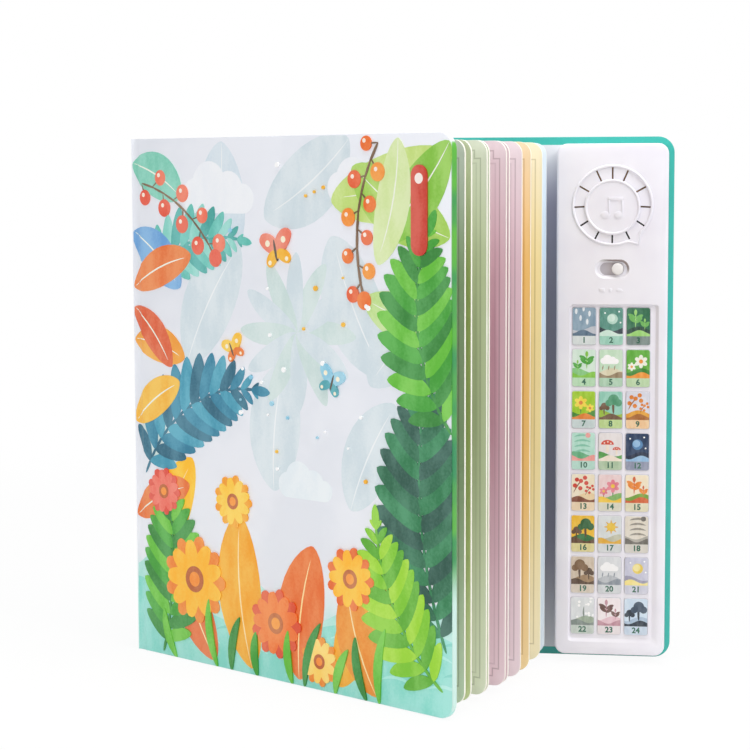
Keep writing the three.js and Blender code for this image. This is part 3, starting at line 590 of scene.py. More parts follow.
def widenRecess(piece):
    bm = bmesh.new()
    above, wide = recess["above"], recess["wide"]
    for lift, radius in ((above, wide + above), (0, wide), (-recess["depth"], recess["narrow"])):
        stadium(bm, recess["halfSlot"], radius, lift)
    bmesh.ops.bridge_loops(bm, edges=bm.edges[:])
    bmesh.ops.holes_fill(bm, edges=[edge for edge in bm.edges if len(edge.link_faces) == 1], sides=0)
    bmesh.ops.recalc_face_normals(bm, faces=bm.faces)
    centre = Matrix.Translation((recess["centreX"], book["moduleFaceY"], recess["centreZ"]))
    bmesh.ops.transform(bm, matrix=toBook @ centre @ faceReader, verts=bm.verts)
    mesh = bpy.data.meshes.new("recess_cutter")
    bm.to_mesh(mesh)
    bm.free()
    cutter = bpy.data.objects.new("recess_cutter", mesh)
    scene.collection.objects.link(cutter)
    cut = piece.modifiers.new("recess", "BOOLEAN")
    cut.operation = "DIFFERENCE"
    cut.solver = "EXACT"
    cut.object = cutter
    shaped = evaluated(piece)
    piece.modifiers.clear()
    piece.data = shaped
    bpy.data.objects.remove(cutter)
    sharpen(shaped, 35)
    shaped.materials.append(recessPaint())
    middleY = book["moduleFaceY"] + recess["depth"] / 2
    middle = toBook @ Vector((recess["centreX"], middleY, recess["centreZ"]))
    for polygon in shaped.polygons:
        # the slopes of the recess
        away = polygon.center - middle
        near = all(abs(part) < limit for part, limit in zip(away, recess["paintReach"]))
        if near and -0.95 < polygon.normal.y < -0.3:
            polygon.material_index = 1


def sharpen(mesh, smoothUnder):
    bm = bmesh.new()
    bm.from_mesh(mesh)
    shadeSmooth(bm, smoothUnder)
    bm.to_mesh(mesh)
    bm.free()


widenRecess(refine("module_housing", shellPlastic))
print("switch recess widened")


def block(size, centre):
    bm = bmesh.new()
    bmesh.ops.create_cube(bm, size=1)
    bmesh.ops.scale(bm, vec=size, verts=bm.verts)
    bmesh.ops.translate(bm, vec=centre, verts=bm.verts)
    return bm


def roundEdges(bm, edges, offset, segments):
    bmesh.ops.bevel(
        bm, geom=edges, offset=offset, segments=segments, profile=0.5, affect="EDGES", material=-1
    )


def paintLeaf(bm):
    # slot 0 is the printed front, 1 the printed back and 2 the cut board
    guide = bm.loops.layers.uv.new("sheet")
    for face in bm.faces:
        face.material_index = 2
        if face.normal.y < -0.9:
            face.material_index = 0
        elif face.normal.y > 0.9:
            face.material_index = 1
        for loop in face.loops:
            spot = loop.vert.co
            loop[guide].uv = (spot.x / 1000, (spot.z - leaf["bottom"]) / 1000)


def leafPanel():
    start = leaf["foldReach"] - leaf["panelLap"]
    width = leaf["freeWidth"] - start
    middle = leaf["bottom"] + leaf["height"] / 2
    bm = block((width, leaf["thickness"], leaf["height"]), (start + width / 2, 0, middle))
    corners = [
        edge for edge in bm.edges
        if all(vert.co.x > leaf["freeWidth"] - 1 for vert in edge.verts)
        and abs(edge.verts[0].co.z - edge.verts[1].co.z) < 1
    ]
    roundEdges(bm, corners, leaf["cornerRadius"], 8)
    rims = [
        edge for edge in bm.edges
        if abs(edge.verts[0].co.y - edge.verts[1].co.y) < 0.01
        and max(vert.co.x for vert in edge.verts) > start + 1
    ]
    roundEdges(bm, rims, leaf["edgeRound"], 2)
    bm.normal_update()
    paintLeaf(bm)
    return bm


def leafFold(angle):
    # the flexible strip between the glued gutter and the board panel
    left = leaf["gutterLeft"] + leaf["gutterLap"] - leaf["hingeX"]
    width = leaf["foldReach"] - left
    middle = leaf["bottom"] + leaf["height"] / 2
    bm = block((width, leaf["thickness"], leaf["height"]), (left + width / 2, 0, middle))
    along = [edge for edge in bm.edges if abs(edge.verts[0].co.x - edge.verts[1].co.x) > 1]
    bmesh.ops.subdivide_edges(bm, edges=along, cuts=leaf["foldSteps"])
    bm.normal_update()
    paintLeaf(bm)
    for vert in bm.verts:
        share = min(max((vert.co.x + leaf["bendHalf"]) / (2 * leaf["bendHalf"]), 0), 1)
        share = share * share * (3 - 2 * share)
        turn = Matrix.Rotation(-math.radians(angle) * share, 3, "Z")
        vert.co = turn @ vert.co
    return bm


def blendTime(weight):
    # where a smooth step reaches this weight
    low, high = 0.0, 1.0
    for _ in range(40):
        middle = (low + high) / 2
        if middle * middle * (3 - 2 * middle) < weight:
            low = middle
        else:
            high = middle
    return low


def makeLeaves():
    longSpan = 3.0  # metres
    for index, angle in enumerate(leaf["angles"]):
        name = f"leaf_{index + 1}"
        hinge = Vector((leaf["hingeX"], leaf["firstY"] + index * leaf["pitch"], 0))
        turn = Matrix.Rotation(-math.radians(angle), 4, "Z")
        stand = toBook @ Matrix.Translation(hinge)
        tint, field = leaf["tints"][index], leaf["fields"][index]
        following = min(index + 1, len(leaf["angles"]) - 1)
        front = leafPaper(name + "_front_print", tint, field)
        back = leafPaper(name + "_back_print", leaf["tints"][following], leaf["fields"][following])
        sides = [front, back, cutEdge]
        weight = angle / book["openAngle"]
        moment = blendTime(weight)
        panel = settle(name, leafPanel(), stand @ turn, sides)
        normal = (turn.to_3x3() @ Vector((0, 1, 0))).normalized()
        centre = stand @ turn @ Vector((leaf["freeWidth"] / 2, 0, leaf["height"] / 2))
        first = centre - normal * moment * longSpan
        first + normal * longSpan
        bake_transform(panel)
        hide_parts("page_block")
        fold = settle(name + "_fold", leafFold(angle), stand, sides)
        along = turn.to_3x3() @ Vector((1, 0, 0))
        begin = stand @ Vector((leaf["gutterRight"] - leaf["hingeX"] - leaf["gutterLap"], 0, 0))
        finish = stand @ turn @ Vector((leaf["foldReach"] - 0.2, 0, 0))
        reach = (finish - begin).dot(along)
        begin + along * reach / moment
        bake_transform(fold)
        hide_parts("page_block")
    depth = leaf["pitch"] * len(leaf["angles"])
    width = leaf["gutterRight"] - leaf["gutterLeft"]
    middleY = leaf["firstY"] + (depth - leaf["pitch"]) / 2
    gutter = block(
        (width, depth, leaf["height"]),
        (leaf["gutterLeft"] + width / 2, middleY, leaf["bottom"] + leaf["height"] / 2),
    )
    piece = settle("page_gutter", gutter, toBook, [cutEdge])
    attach(piece, "spine")
    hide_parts("page_block")


makeLeaves()
print("leaves made")


# Paper of the wrap where it crosses each cover joint
wrap = {
    "thickness": 0.3,
    "radius": 0.7,
    "reach": 1.6,
    "onSpine": 2.2,
    "bendSteps": 8,
    "inset": 0.05,
    "clearance": 0.02,
    "bendStart": 0.8,
}


def hingeWrap(name, side, material):
    # side is -1 for the front cover's corner and 1 for the back cover's
    outer = -book["thickness"] if side < 0 else 0
    bm = bmesh.new()
    radius, inset = wrap["radius"], wrap["inset"]
    corner = Vector((radius + inset, outer - side * (radius + inset), 0))
    path = [Vector((inset, corner.y - side * wrap["onSpine"], 0))]
    for step in range(wrap["bendSteps"] + 1):
        angle = math.pi / 2 * step / wrap["bendSteps"]
        path.append(corner + Vector((-radius * math.cos(angle), side * radius * math.sin(angle), 0)))
    path.append(Vector((corner.x + wrap["reach"], outer - side * inset, 0)))
    points = [bm.verts.new(spot) for spot in path]
    edges = [bm.edges.new(pair) for pair in zip(points, points[1:])]
    made = bmesh.ops.extrude_edge_only(bm, edges=edges)
    upper = [item for item in made["geom"] if isinstance(item, bmesh.types.BMVert)]
    bmesh.ops.translate(bm, vec=(0, 0, book["height"]), verts=upper)
    bmesh.ops.recalc_face_normals(bm, faces=bm.faces)
    bmesh.ops.solidify(bm, geom=bm.faces[:], thickness=wrap["thickness"])
    low = min(vert.co.x for vert in bm.verts)
    bmesh.ops.translate(bm, vec=(wrap["clearance"] - low, 0, 0), verts=bm.verts)
    piece = settle(name, bm, toBook, [material], 60)
    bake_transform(piece)


hingeWrap("front_hinge_wrap", -1, coverPaper)
hingeWrap("back_hinge_wrap", 1, tealPaper)


# Printed shapes: each is a thin closed sliver, and later ones lie over earlier ones
def roundForm(radius, sides=28, squeeze=1.0):
    bm = bmesh.new()
    bmesh.ops.create_circle(bm, cap_ends=True, radius=radius, segments=sides)
    bmesh.ops.scale(bm, vec=(1, squeeze, 1), verts=bm.verts)
    return bm


def bladeForm(length, width, bend=0.0, point=0.5, sides=22):
    # from its foot at the origin to its tip on +X
    bm = bmesh.new()
    bmesh.ops.create_circle(bm, cap_ends=True, radius=1, segments=sides)
    for vert in bm.verts:
        share = (vert.co.x + 1) / 2
        side = vert.co.y * abs(vert.co.y) ** point
        vert.co = (share * length, side * width / 2 + bend * length * 4 * share * (1 - share), 0)
    return bm


def bandForm(left, right, bottom, top, columns=40):
    # bottom and top are heights along the band
    bm = bmesh.new()
    bmesh.ops.create_grid(bm, x_segments=columns, y_segments=1, size=0.5)
    for vert in bm.verts:
        across = left + (vert.co.x + 0.5) * (right - left)
        vert.co = (across, top(across) if vert.co.y > 0 else bottom(across), 0)
    return bm


def panelForm(left, right, low, high, radius=0.0):
    bm = bandForm(left, right, lambda u: low, lambda u: high, 1)
    if radius:
        bmesh.ops.bevel(
            bm, geom=bm.verts[:], offset=radius, segments=5, profile=0.5, affect="VERTICES", material=-1
        )
    return bm


def cornerPlanes(left, right, low, high, radius, corners):
    # cutting planes round a panel with rounded corners
    planes = [((left, low), (-1, 0)), ((right, low), (1, 0)), ((left, low), (0, -1)), ((left, high), (0, 1))]
    for signX, signY in corners:
        centreX = right - radius if signX > 0 else left + radius
        centreY = high - radius if signY > 0 else low + radius
        for step in range(1, 8):
            angle = math.pi / 2 * step / 8
            away = (signX * math.cos(angle), signY * math.sin(angle))
            planes.append(((centreX + radius * away[0], centreY + radius * away[1]), away))
    return planes


class Print:
    # a layer of printed shapes on one flat face
    def __init__(self, planes, first=0.02, step=0.0015, folds=(), drape=None):
        self.bm = bmesh.new()
        self.bm.loops.layers.float_color.new("ink")
        self.planes = planes
        self.lift = first
        self.step = step
        self.folds = folds
        self.drape = drape

    def add(self, form, colour, place=(0, 0), turn=0.0):
        bmesh.ops.rotate(form, matrix=Matrix.Rotation(math.radians(turn), 3, "Z"), verts=form.verts)
        bmesh.ops.translate(form, vec=(*place, 0), verts=form.verts)
        for spot, away in self.planes:
            cutForm(form, spot, away, dist=1e-5, clear_outer=True)
        for fold in self.folds:
            cutForm(form, (fold, 0), (1, 0))
        if form.faces:
            self.lift += self.step
            thicken(form, self.lift, 0.05)
            if self.drape:
                for vert in form.verts:
                    vert.co.z -= self.drape(vert.co.x)
            bmesh.ops.recalc_face_normals(form, faces=form.faces)
            self.take(form, colour)
        form.free()

    def take(self, form, colour):
        ink = form.loops.layers.float_color.get("ink") or form.loops.layers.float_color.new("ink")
        for face in form.faces:
            for loop in face.loops:
                loop[ink] = shade(colour)
        pour(form, self.bm)

    def number(self, text, colour, centre, size):
        # plain figures, made a mesh before their place is applied
        curve = bpy.data.curves.new("figure", "FONT")
        curve.body = text
        curve.size = size
        curve.align_x = "CENTER"
        curve.align_y = "CENTER"
        curve.extrude = keys["figureDepth"]
        curve.offset = 0.13
        curve.resolution_u = 3
        form = curveForm(curve, 1e-5)
        self.lift += self.step
        bmesh.ops.translate(form, vec=(*centre, self.lift + 0.012 - keys["figureDepth"]), verts=form.verts)
        for face in form.faces:
            face.material_index = 0
        self.take(form, colour)
        form.free()


# Front cover print: a plain garden design
garden = {
    "left": 0.9,
    "right": 211.2,
    "bottom": 0.5,
    "top": 259.5,
    "ghosts": ["#d9e8e6", "#dfe9ee", "#d2e4e2", "#dde8f0"],
    "water": ["#9fe6dc", "#bdf1ea", "#84d8cc"],
    "oranges": ["#f3801c", "#f9a12c", "#ee6a2a"],
    "greens": ["#45b22e", "#74cd35", "#2f9a33"],
    "darks": ["#0f7a52", "#0b6350", "#1d8f58"],
    "teals": ["#2d93b0", "#4aacc4", "#1f7892"],
    "coral": ["#ee6444", "#f58262"],
    "twig": "#8a6a4a",
    "label": "#d9472b",
}


groove = {"start": 0.3, "end": 6.0, "fade": 0.5, "rest": 0.3, "bow": 2.835}


def hingeDip(across):
    # depth of the pressed hinge groove under the cover's face
    past = across - groove["end"]
    if past > 0:
        return groove["rest"] * max(1 - past / groove["fade"], 0)
    share = max((across - groove["start"]) / (groove["end"] - groove["start"]), 0)
    return groove["bow"] * share * (1 - share) + groove["rest"] * share ** 3


def pick(name):
    return draw.choice(garden[name])


def heading(degrees):
    return Vector((math.cos(math.radians(degrees)), math.sin(math.radians(degrees))))


def stalk(foot, angle, length, steps, bow):
    # places and directions along a curved stalk
    spot = Vector(foot)
    places = []
    for _ in range(steps + 1):
        places.append((spot.copy(), angle))
        spot += heading(angle) * length / steps
        angle += bow / steps
    return places


def fern(sheet, foot, angle, length, colours, pairs, size, bow):
    # a curved stalk with paired narrow leaflets
    places = stalk(foot, angle, length, pairs, bow)
    for place, way in places[:-1]:
        sheet.add(bladeForm(length / pairs * 1.35, 1.6, 0, 0.1, 12), colours[-1], place, way)
    for step, (place, way) in enumerate(places[1:], 1):
        share = step / pairs
        reach = size * math.sin(math.pi * (0.18 + 0.78 * share)) + size * 0.12
        for side in (-1, 1):
            lean = way + side * (62 - 22 * share)
            colour = colours[(step + (side > 0)) % len(colours)]
            sheet.add(bladeForm(reach, reach * 0.36, -0.05 * side, 0.3, 16), colour, place, lean)
    tip, way = places[-1]
    sheet.add(bladeForm(size * 0.5, size * 0.2, 0, 0.3, 16), colours[0], tip, way)


def daisy(sheet, centre, size, petals, petalInk, shadeInk, heart):
    for ring, ink, reach in ((0, shadeInk, 1.0), (0.5, petalInk, 0.9)):
        for index in range(petals):
            turn = 360 * (index + ring) / petals
            sheet.add(bladeForm(size * reach, size * 0.42, 0, -0.25, 18), ink, centre, turn)
    sheet.add(roundForm(size * 0.3), heart, centre)
    sheet.add(roundForm(size * 0.17), garden["oranges"][1], centre)


def butterfly(sheet, centre, size, turn, wing, tip):
    for side in (-1, 1):
        for lean, reach, ink in ((42, 1.0, wing), (-38, 0.72, tip)):
            way = turn + (lean if side > 0 else 180 - lean)
            sheet.add(bladeForm(size * reach, size * 0.62 * reach, 0.04 * side, -0.2, 18), ink, centre, way)
            spot = Vector(centre) + heading(way) * size * 0.55
            sheet.add(roundForm(size * 0.12 * reach), "#fdf4dc", spot)
    low = Vector(centre) - Vector((0, size * 0.35))
    sheet.add(bladeForm(size * 0.8, size * 0.12, 0, 0, 12), "#5b4a3a", low, turn + 90)


def berries(sheet, foot, angle, length, ink, count, size, bow):
    # a curved twig with a fruit to each side in turn
    places = stalk(foot, angle, length, count, bow)
    for index, (spot, way) in enumerate(places[:-1]):
        sheet.add(bladeForm(length / count * 1.3, 1.2, 0, 0.1, 10), garden["twig"], spot, way)
        out = way + (58 if index % 2 else -58)
        tip = spot + heading(out) * size * 1.7
        sheet.add(bladeForm(size * 1.8, 0.8, 0, 0.1, 10), garden["twig"], spot, out)
        sheet.add(roundForm(size * draw.uniform(0.8, 1.05), 20), ink[index % len(ink)], tip)
        sheet.add(roundForm(size * 0.25, 12), "#fff0e2", tip + Vector((-size * 0.25, size * 0.3)))
    sheet.add(roundForm(size, 20), ink[0], places[-1][0])


def cloud(sheet, centre, size, ink):
    for dx, dy, radius in ((-0.9, 0, 0.5), (-0.3, 0.28, 0.7), (0.5, 0.1, 0.6), (1.1, -0.08, 0.42)):
        sheet.add(roundForm(size * radius), ink, Vector(centre) + Vector((dx, dy)) * size)
    sheet.add(panelForm(-1.2 * size, 1.35 * size, -0.5 * size, 0, size * 0.24), ink, centre)


def bigLeaf(sheet, foot, turn, length, width, ink, vein, veinWidth=0.8, bend=0.05, sides=30):
    # a broad leaf with its middle vein
    sheet.add(bladeForm(length, width, bend, 0.3, sides), ink, foot, turn)
    sheet.add(bladeForm(length * 0.9, veinWidth, bend * 1.1, 0.1, 20), vein, foot, turn)


def coverPrint():
    left, right, low, top = (garden[key] for key in ("left", "right", "bottom", "top"))
    planes = cornerPlanes(left, right, low, top, book["cornerRadius"] - 0.5, [(1, 1), (1, -1)])
    sheet = Print(planes, folds=(1.4, 2.2, 3.1, 4.0, 4.8, 5.5, 6.0, 6.5), drape=hingeDip)
    for foot, turn, length, width in (
        ((66, 258), 262, 74, 36), ((150, 258), 214, 66, 34), ((40, 150), 58, 70, 34),
        ((172, 150), 118, 72, 36), ((100, 92), 84, 62, 34), ((150, 88), 62, 58, 30),
        ((30, 96), 118, 44, 24), ((196, 196), 236, 60, 30),
    ):
        bigLeaf(sheet, foot, turn, length, width, pick("ghosts"), "#f2f6f8", bend=0.04, sides=32)
    for turn in range(0, 360, 30):
        sheet.add(bladeForm(38, 11, 0.03, 0.2), garden["ghosts"][turn // 30 % 2], (116, 168), turn)
    cloud(sheet, (62, 232), 17, "#f5f7fb")
    cloud(sheet, (156, 236), 14, "#f5f7fb")
    cloud(sheet, (120, 96), 12, "#eef4f8")

    def farShore(u):
        return 44 + 9 * math.sin(u / 26) + 4 * math.sin(u / 11)

    def nearShore(u):
        return 31 + 8 * math.sin(u / 31 + 2)

    sheet.add(bandForm(left, right, lambda u: low, farShore), "#c3eee7")
    sheet.add(bandForm(left, right, lambda u: low, nearShore), garden["water"][0])
    for row in range(4):
        for index in range(7):
            spot = (16 + index * 30 + 12 * (row % 2) + draw.uniform(-4, 4), 12 + row * 7)
            sheet.add(bladeForm(draw.uniform(12, 22), 1.6, 0.12, 0.2, 16), garden["water"][1 + row % 2], spot)
    for foot, turn, length, width, ink in (
        ((84, 3), 97, 76, 30, "#f9b80e"), ((116, 3), 82, 66, 30, "#f0842a"),
        ((142, 4), 60, 64, 25, "#f9b80e"), ((58, 3), 116, 58, 24, "#ee7a30"),
        ((18, 48), 66, 60, 26, "#ffd012"), ((166, 3), 112, 52, 24, "#f3a01c"),
    ):
        bigLeaf(sheet, foot, turn, length, width, ink, "#ffe9b0", 0.9)
    fern(sheet, (8, 92), 62, 96, garden["teals"], 13, 25, -66)
    fern(sheet, (8, 190), 40, 74, ["#74cfc4", "#9fe0d6", "#55b9b2"], 11, 20, -50)
    for foot, turn, length, width, ink in (
        ((1, 248), -24, 40, 22, "#8fd8c4"), ((1, 214), -38, 44, 22, "#7fb6e4"),
        ((1, 186), 22, 46, 19, "#f08a3c"), ((1, 160), -12, 38, 18, "#f6b23a"),
        ((1, 176), -46, 40, 16, "#e8713a"), ((1, 118), 34, 40, 18, "#f9c53a"),
        ((1, 70), 26, 44, 18, "#f08a3c"), ((210, 250), 196, 74, 30, "#d3e88f"),
        ((210, 214), 152, 66, 28, "#b9de6a"), ((210, 256), 226, 62, 24, "#9bd34c"),
        ((180, 258), 258, 58, 20, "#e0efb4"), ((210, 176), 170, 52, 22, "#cfe9a0"),
    ):
        bigLeaf(sheet, foot, turn, length, width, ink, "#f4f7ea")
    berries(sheet, (8, 238), -14, 66, garden["coral"], 8, 4.4, -46)
    fern(sheet, (208, 30), 112, 118, garden["darks"], 15, 30, -34)
    fern(sheet, (211, 128), 128, 92, garden["greens"], 13, 26, -62)
    fern(sheet, (206, 12), 142, 82, ["#93d61f", "#b0e22c", "#6cbf24"], 12, 23, -48)
    fern(sheet, (20, 2), 74, 82, garden["greens"], 12, 24, 26)
    berries(sheet, (168, 256), 240, 74, garden["oranges"], 9, 4.2, 52)
    for spot, size, main, under in (
        ((44, 42), 22, "#ffc81e", "#f5941c"),
        ((101, 28), 17, "#f68a2e", "#e8602a"),
        ((72, 84), 13, "#ffd84e", "#f9b41f"),
        ((150, 56), 15, "#ffc81e", "#f07a1c"),
        ((22, 84), 12, "#f4806a", "#ea5c44"),
        ((130, 14), 12, "#ffe07a", "#f59e1c"),
    ):
        daisy(sheet, spot, size, 9, main, under, "#c9702a")
    for spot, turn, length in (
        ((60, 0), 100, 34), ((70, 0), 78, 28), ((112, 0), 96, 26), ((120, 0), 72, 34), ((160, 0), 104, 30),
        ((168, 0), 84, 36), ((30, 0), 110, 26), ((88, 0), 92, 22), ((140, 0), 70, 24),
    ):
        sheet.add(bladeForm(length, 5, 0.08, 0.35), pick("greens"), spot, turn)
    butterfly(sheet, (104, 206), 13, 12, "#f4957c", "#f9c21f")
    butterfly(sheet, (138, 146), 10, -18, "#9fd6ea", "#57b4be")
    butterfly(sheet, (74, 158), 9, 24, "#fbd24a", "#f08a2c")
    for _ in range(30):
        spot = (draw.uniform(60, 168), draw.uniform(100, 248))
        sheet.add(roundForm(draw.uniform(0.5, 1.3), 12), draw.choice(["#ffffff", "#f9c21f", "#9fd6ea"]), spot)
    sheet.add(panelForm(188, 197.5, 206, 246, 4.6), garden["label"])
    sheet.add(roundForm(2.4, 20), "#fdf1ea", (192.7, 240))
    piece = settle("cover_print", sheet.bm, toFront @ faceReader, [coverInk], 20, False)
    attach(piece, "front_cover")


coverPrint()
print("cover printed")


# Key pictures: sky, ground, motif and its inks, caption band
keys = {
    "left": 221.3,
    "pitchX": 13.2,
    "width": 11.2,
    "top": 176.6,
    "pitchZ": 20.6,
    "height": 18.1,
    "faceY": -17.8,
    "overlap": 0.05,
    "corner": 1.05,
    "capGrow": 0.17,
    "capRound": 0.2,
    "capDepth": 1.9,
    "caption": 4.3,
    "figureInk": "#1f6b52",
    "figureSize": 3.9,
    "figureDepth": 0.03,
    "pictures": [
        ("#8fa9bd", "#c9cdd6", "drops", "#e8edf2", "#5d7890", "#dfe6e6"),
        ("#5f9d8e", "#33424d", "moon", "#bfe0d2", "#d9efe4", "#a7d8c6"),
        ("#2f7a55", "#1e4a3c", "sprout", "#7fc46a", "#a8dc80", "#82938f"),
        ("#dcefe2", "#8fd18a", "sprout", "#4faf3c", "#8fd14a", "#bfe3bf"),
        ("#cfe8cf", "#e3dcc0", "cloud", "#ffffff", "#a48f6e", "#b9d9c0"),
        ("#69b93a", "#3f9230", "flower", "#f4f4e8", "#f2a33a", "#c8e0b8"),
        ("#a9d417", "#3f8f22", "flower", "#f6e04a", "#e8882a", "#cfdcdc"),
        ("#9fd6c4", "#a6c83e", "tree", "#57a37c", "#7a5b3e", "#c6dd9a"),
        ("#dfe0ea", "#e9a92e", "berries", "#e58a1f", "#b06a1a", "#f3d0a4"),
        ("#bfe6d8", "#6cb98a", "wave", "#8fd0b8", "#f2a7a0", "#bfe2d6"),
        ("#ece6e6", "#59a84e", "mushroom", "#d9472b", "#f4e8da", "#b9cfb0"),
        ("#173a63", "#0e2547", "moon", "#4d86b8", "#9cc4e4", "#9aa0b6"),
        ("#f3e9d2", "#f0d9b0", "berries", "#d8452f", "#8a4a2a", "#f0dcc0"),
        ("#f0d8d8", "#8fbf70", "flower", "#e88a9a", "#f6d24a", "#e2e0d0"),
        ("#f6ead2", "#7fae3c", "sprout", "#f0902a", "#d8662a", "#e6e0c4"),
        ("#f2c52e", "#2f7a3a", "tree", "#2c6a35", "#6a4a2c", "#e3d9a0"),
        ("#dfe3e4", "#c9c9b4", "sun", "#f2cf4a", "#e8b83a", "#dcdfe0"),
        ("#e6dfd2", "#b9b4aa", "wave", "#a09a8e", "#7e7a72", "#dcd8d0"),
        ("#d8c9b6", "#a98b68", "tree", "#8a6a48", "#5f4630", "#ddd2c4"),
        ("#e1e3e6", "#c3c7cc", "cloud", "#fbfbfc", "#9aa2ac", "#dadde0"),
        ("#cfcfe0", "#a9a7bd", "moon", "#f0d765", "#f7e9a0", "#d6d6e2"),
        ("#e3e6e8", "#a9b7a4", "snow", "#ffffff", "#8a9690", "#cdd6cf"),
        ("#f6eef0", "#e9c9d2", "sprout", "#7b5a54", "#c99aa6", "#ece4e6"),
        ("#d5e4f2", "#b7cadd", "tree", "#46586e", "#33404f", "#cfdcea"),
    ],
}


def motif(sheet, kind, centre, size, main, second):
    x, z = centre
    if kind == "sun":
        for turn in range(0, 360, 45):
            sheet.add(bladeForm(size, size * 0.22), second, centre, turn)
        sheet.add(roundForm(size * 0.6), main, centre)
    elif kind == "moon":
        sheet.add(roundForm(size * 0.72), main, centre)
        sheet.add(roundForm(size * 0.5), second, (x - size * 0.14, z + size * 0.12))
        for dx, dz in ((-1.0, 0.8), (0.9, 1.0), (1.1, -0.5)):
            sheet.add(roundForm(size * 0.12, 10), "#ffffff", (x + dx * size, z + dz * size))
    elif kind == "cloud":
        cloud(sheet, centre, size * 0.85, main)
        for dx in (-0.8, 0, 0.8):
            sheet.add(bladeForm(size * 0.7, size * 0.16), second, (x + dx * size, z - size * 0.6), -100)
    elif kind == "drops":
        for dx, dz in ((-0.9, 0.6), (0.1, 1.0), (0.9, 0.3), (-0.3, -0.3), (0.6, -0.8)):
            sheet.add(bladeForm(size * 0.8, size * 0.34, 0, 0.1), main, (x + dx * size, z + dz * size), 90)
    elif kind == "sprout":
        sheet.add(bladeForm(size * 2.2, size * 0.2), second, (x, z - size * 1.2), 90)
        for turn, rise in ((28, 0.1), (152, 0.2), (40, -0.5), (140, -0.4)):
            sheet.add(bladeForm(size * 1.25, size * 0.55, 0, 0.3), main, (x, z + rise * size), turn)
        sheet.add(bladeForm(size * 0.9, size * 0.45, 0, 0.3), second, (x, z + size * 0.6), 90)
    elif kind == "flower":
        sheet.add(bladeForm(size * 1.8, size * 0.18), "#3f8f3a", (x, z - size * 1.7), 90)
        for turn in range(0, 360, 60):
            sheet.add(bladeForm(size, size * 0.62, 0, -0.2), main, centre, turn + 30)
        sheet.add(roundForm(size * 0.3), second, centre)
    elif kind == "tree":
        sheet.add(bladeForm(size * 2.4, size * 0.34, 0.02, -0.1), second, (x, z - size * 1.6), 90)
        for dx, dz, radius in ((0, 0.5, 0.8), (-0.7, 0, 0.5), (0.7, 0.05, 0.55)):
            sheet.add(roundForm(size * radius), main, (x + dx * size, z + dz * size))
    elif kind == "berries":
        sheet.add(bladeForm(size * 2.6, size * 0.18, 0.06), second, (x - size, z - size * 1.1), 55)
        for dx, dz in ((-0.8, 0), (0, -0.4), (0.1, 0.7), (0.9, 0.4), (0.7, 1.2), (-0.5, 0.9)):
            sheet.add(roundForm(size * 0.32), main, (x + dx * size, z + dz * size))
    elif kind == "mushroom":
        sheet.add(panelForm(-0.22 * size, 0.22 * size, -1.2 * size, 0.1, size * 0.15), second, centre)
        cap = roundForm(size * 0.95, 32, 0.75)
        cutForm(cap, (0, 0), (0, -1), clear_outer=True)
        sheet.add(cap, main, centre)
        for dx, dz in ((-0.45, 0.25), (0.05, 0.42), (0.5, 0.2)):
            sheet.add(roundForm(size * 0.12, 12), second, (x + dx * size, z + dz * size))
    elif kind == "wave":
        for row in range(4):
            spot = (x - size * 1.2, z + (row - 1.6) * size * 0.7)
            sheet.add(bladeForm(size * 2.3, size * 0.3, 0.1), main, spot)
        sheet.add(roundForm(size * 0.35), second, (x + size * 0.7, z + size * 1.2))
    elif kind == "snow":
        for _ in range(14):
            spot = (x + draw.uniform(-1.3, 1.3) * size, z + draw.uniform(-1.4, 1.6) * size)
            sheet.add(roundForm(size * draw.uniform(0.08, 0.2), 10), main, spot)
        sheet.add(bladeForm(size * 1.6, size * 0.2, 0.05), second, (x, z - size * 1.3), 90)


def keyPicture(index, picture):
    sky, ground, kind, main, second, captionInk = picture
    row, column = divmod(index, 3)
    left = keys["left"] + column * keys["pitchX"] - keys["overlap"]
    right = left + keys["width"] + 2 * keys["overlap"]
    top = keys["top"] - row * keys["pitchZ"] + keys["overlap"]
    low = top - keys["height"] - 2 * keys["overlap"]
    corners = [(1, 1), (1, -1), (-1, 1), (-1, -1)]
    sheet = Print(cornerPlanes(left, right, low, top, keys["corner"], corners), 0.01, 0.002)
    sheet.add(panelForm(left, right, low, top), sky)
    phase = draw.uniform(0, 6)
    rise = low + keys["caption"]

    def hill(u):
        return rise + 3.6 + 1.2 * math.sin(u / 2.6 + phase)

    def bank(u):
        return rise + 2.0 + math.cos(u / 1.9 + phase)

    sheet.add(bandForm(left, right, lambda u: rise, hill, 14), ground)
    middle = (left + right) / 2
    if kind in ("flower", "sprout", "tree", "mushroom", "berries"):
        side = 1 if index % 2 else -1
        crown = second if kind == "tree" else main
        motif(sheet, kind, (middle - side * 3.1, rise + 5.6), 2.1, crown, second)
        motif(sheet, kind, (middle + side * 1.4, rise + 8.2), 3.3, main, second)
    else:
        motif(sheet, kind, (middle + draw.uniform(-1, 1), rise + 8.4), 3.6, main, second)
    sheet.add(bandForm(left, right, lambda u: rise, bank, 14), second)
    sheet.add(panelForm(left, right, low, rise), captionInk)
    sheet.number(str(index + 1), keys["figureInk"], (middle, low + keys["caption"] / 2), keys["figureSize"])
    matrix = toBook @ Matrix.Translation((0, keys["faceY"], 0)) @ faceReader
    name = f"key_row{row + 1}_column{column + 1}"
    piece = settle(name + "_picture", sheet.bm, matrix, [keyInk], 20, False)
    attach(piece, name)
    grow = keys["capGrow"] - keys["overlap"]
    cap = panelForm(left - grow, right + grow, low - grow, top + grow, keys["corner"] + 0.1)
    thicken(cap, -keys["capDepth"])
    rims = [edge for edge in cap.edges if all(vert.co.z > -0.01 for vert in edge.verts)]
    roundEdges(cap, rims, keys["capRound"], 3)
    body = settle(name + "_cap", cap, matrix, [keyCap])
    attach(body, name)
    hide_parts(name)


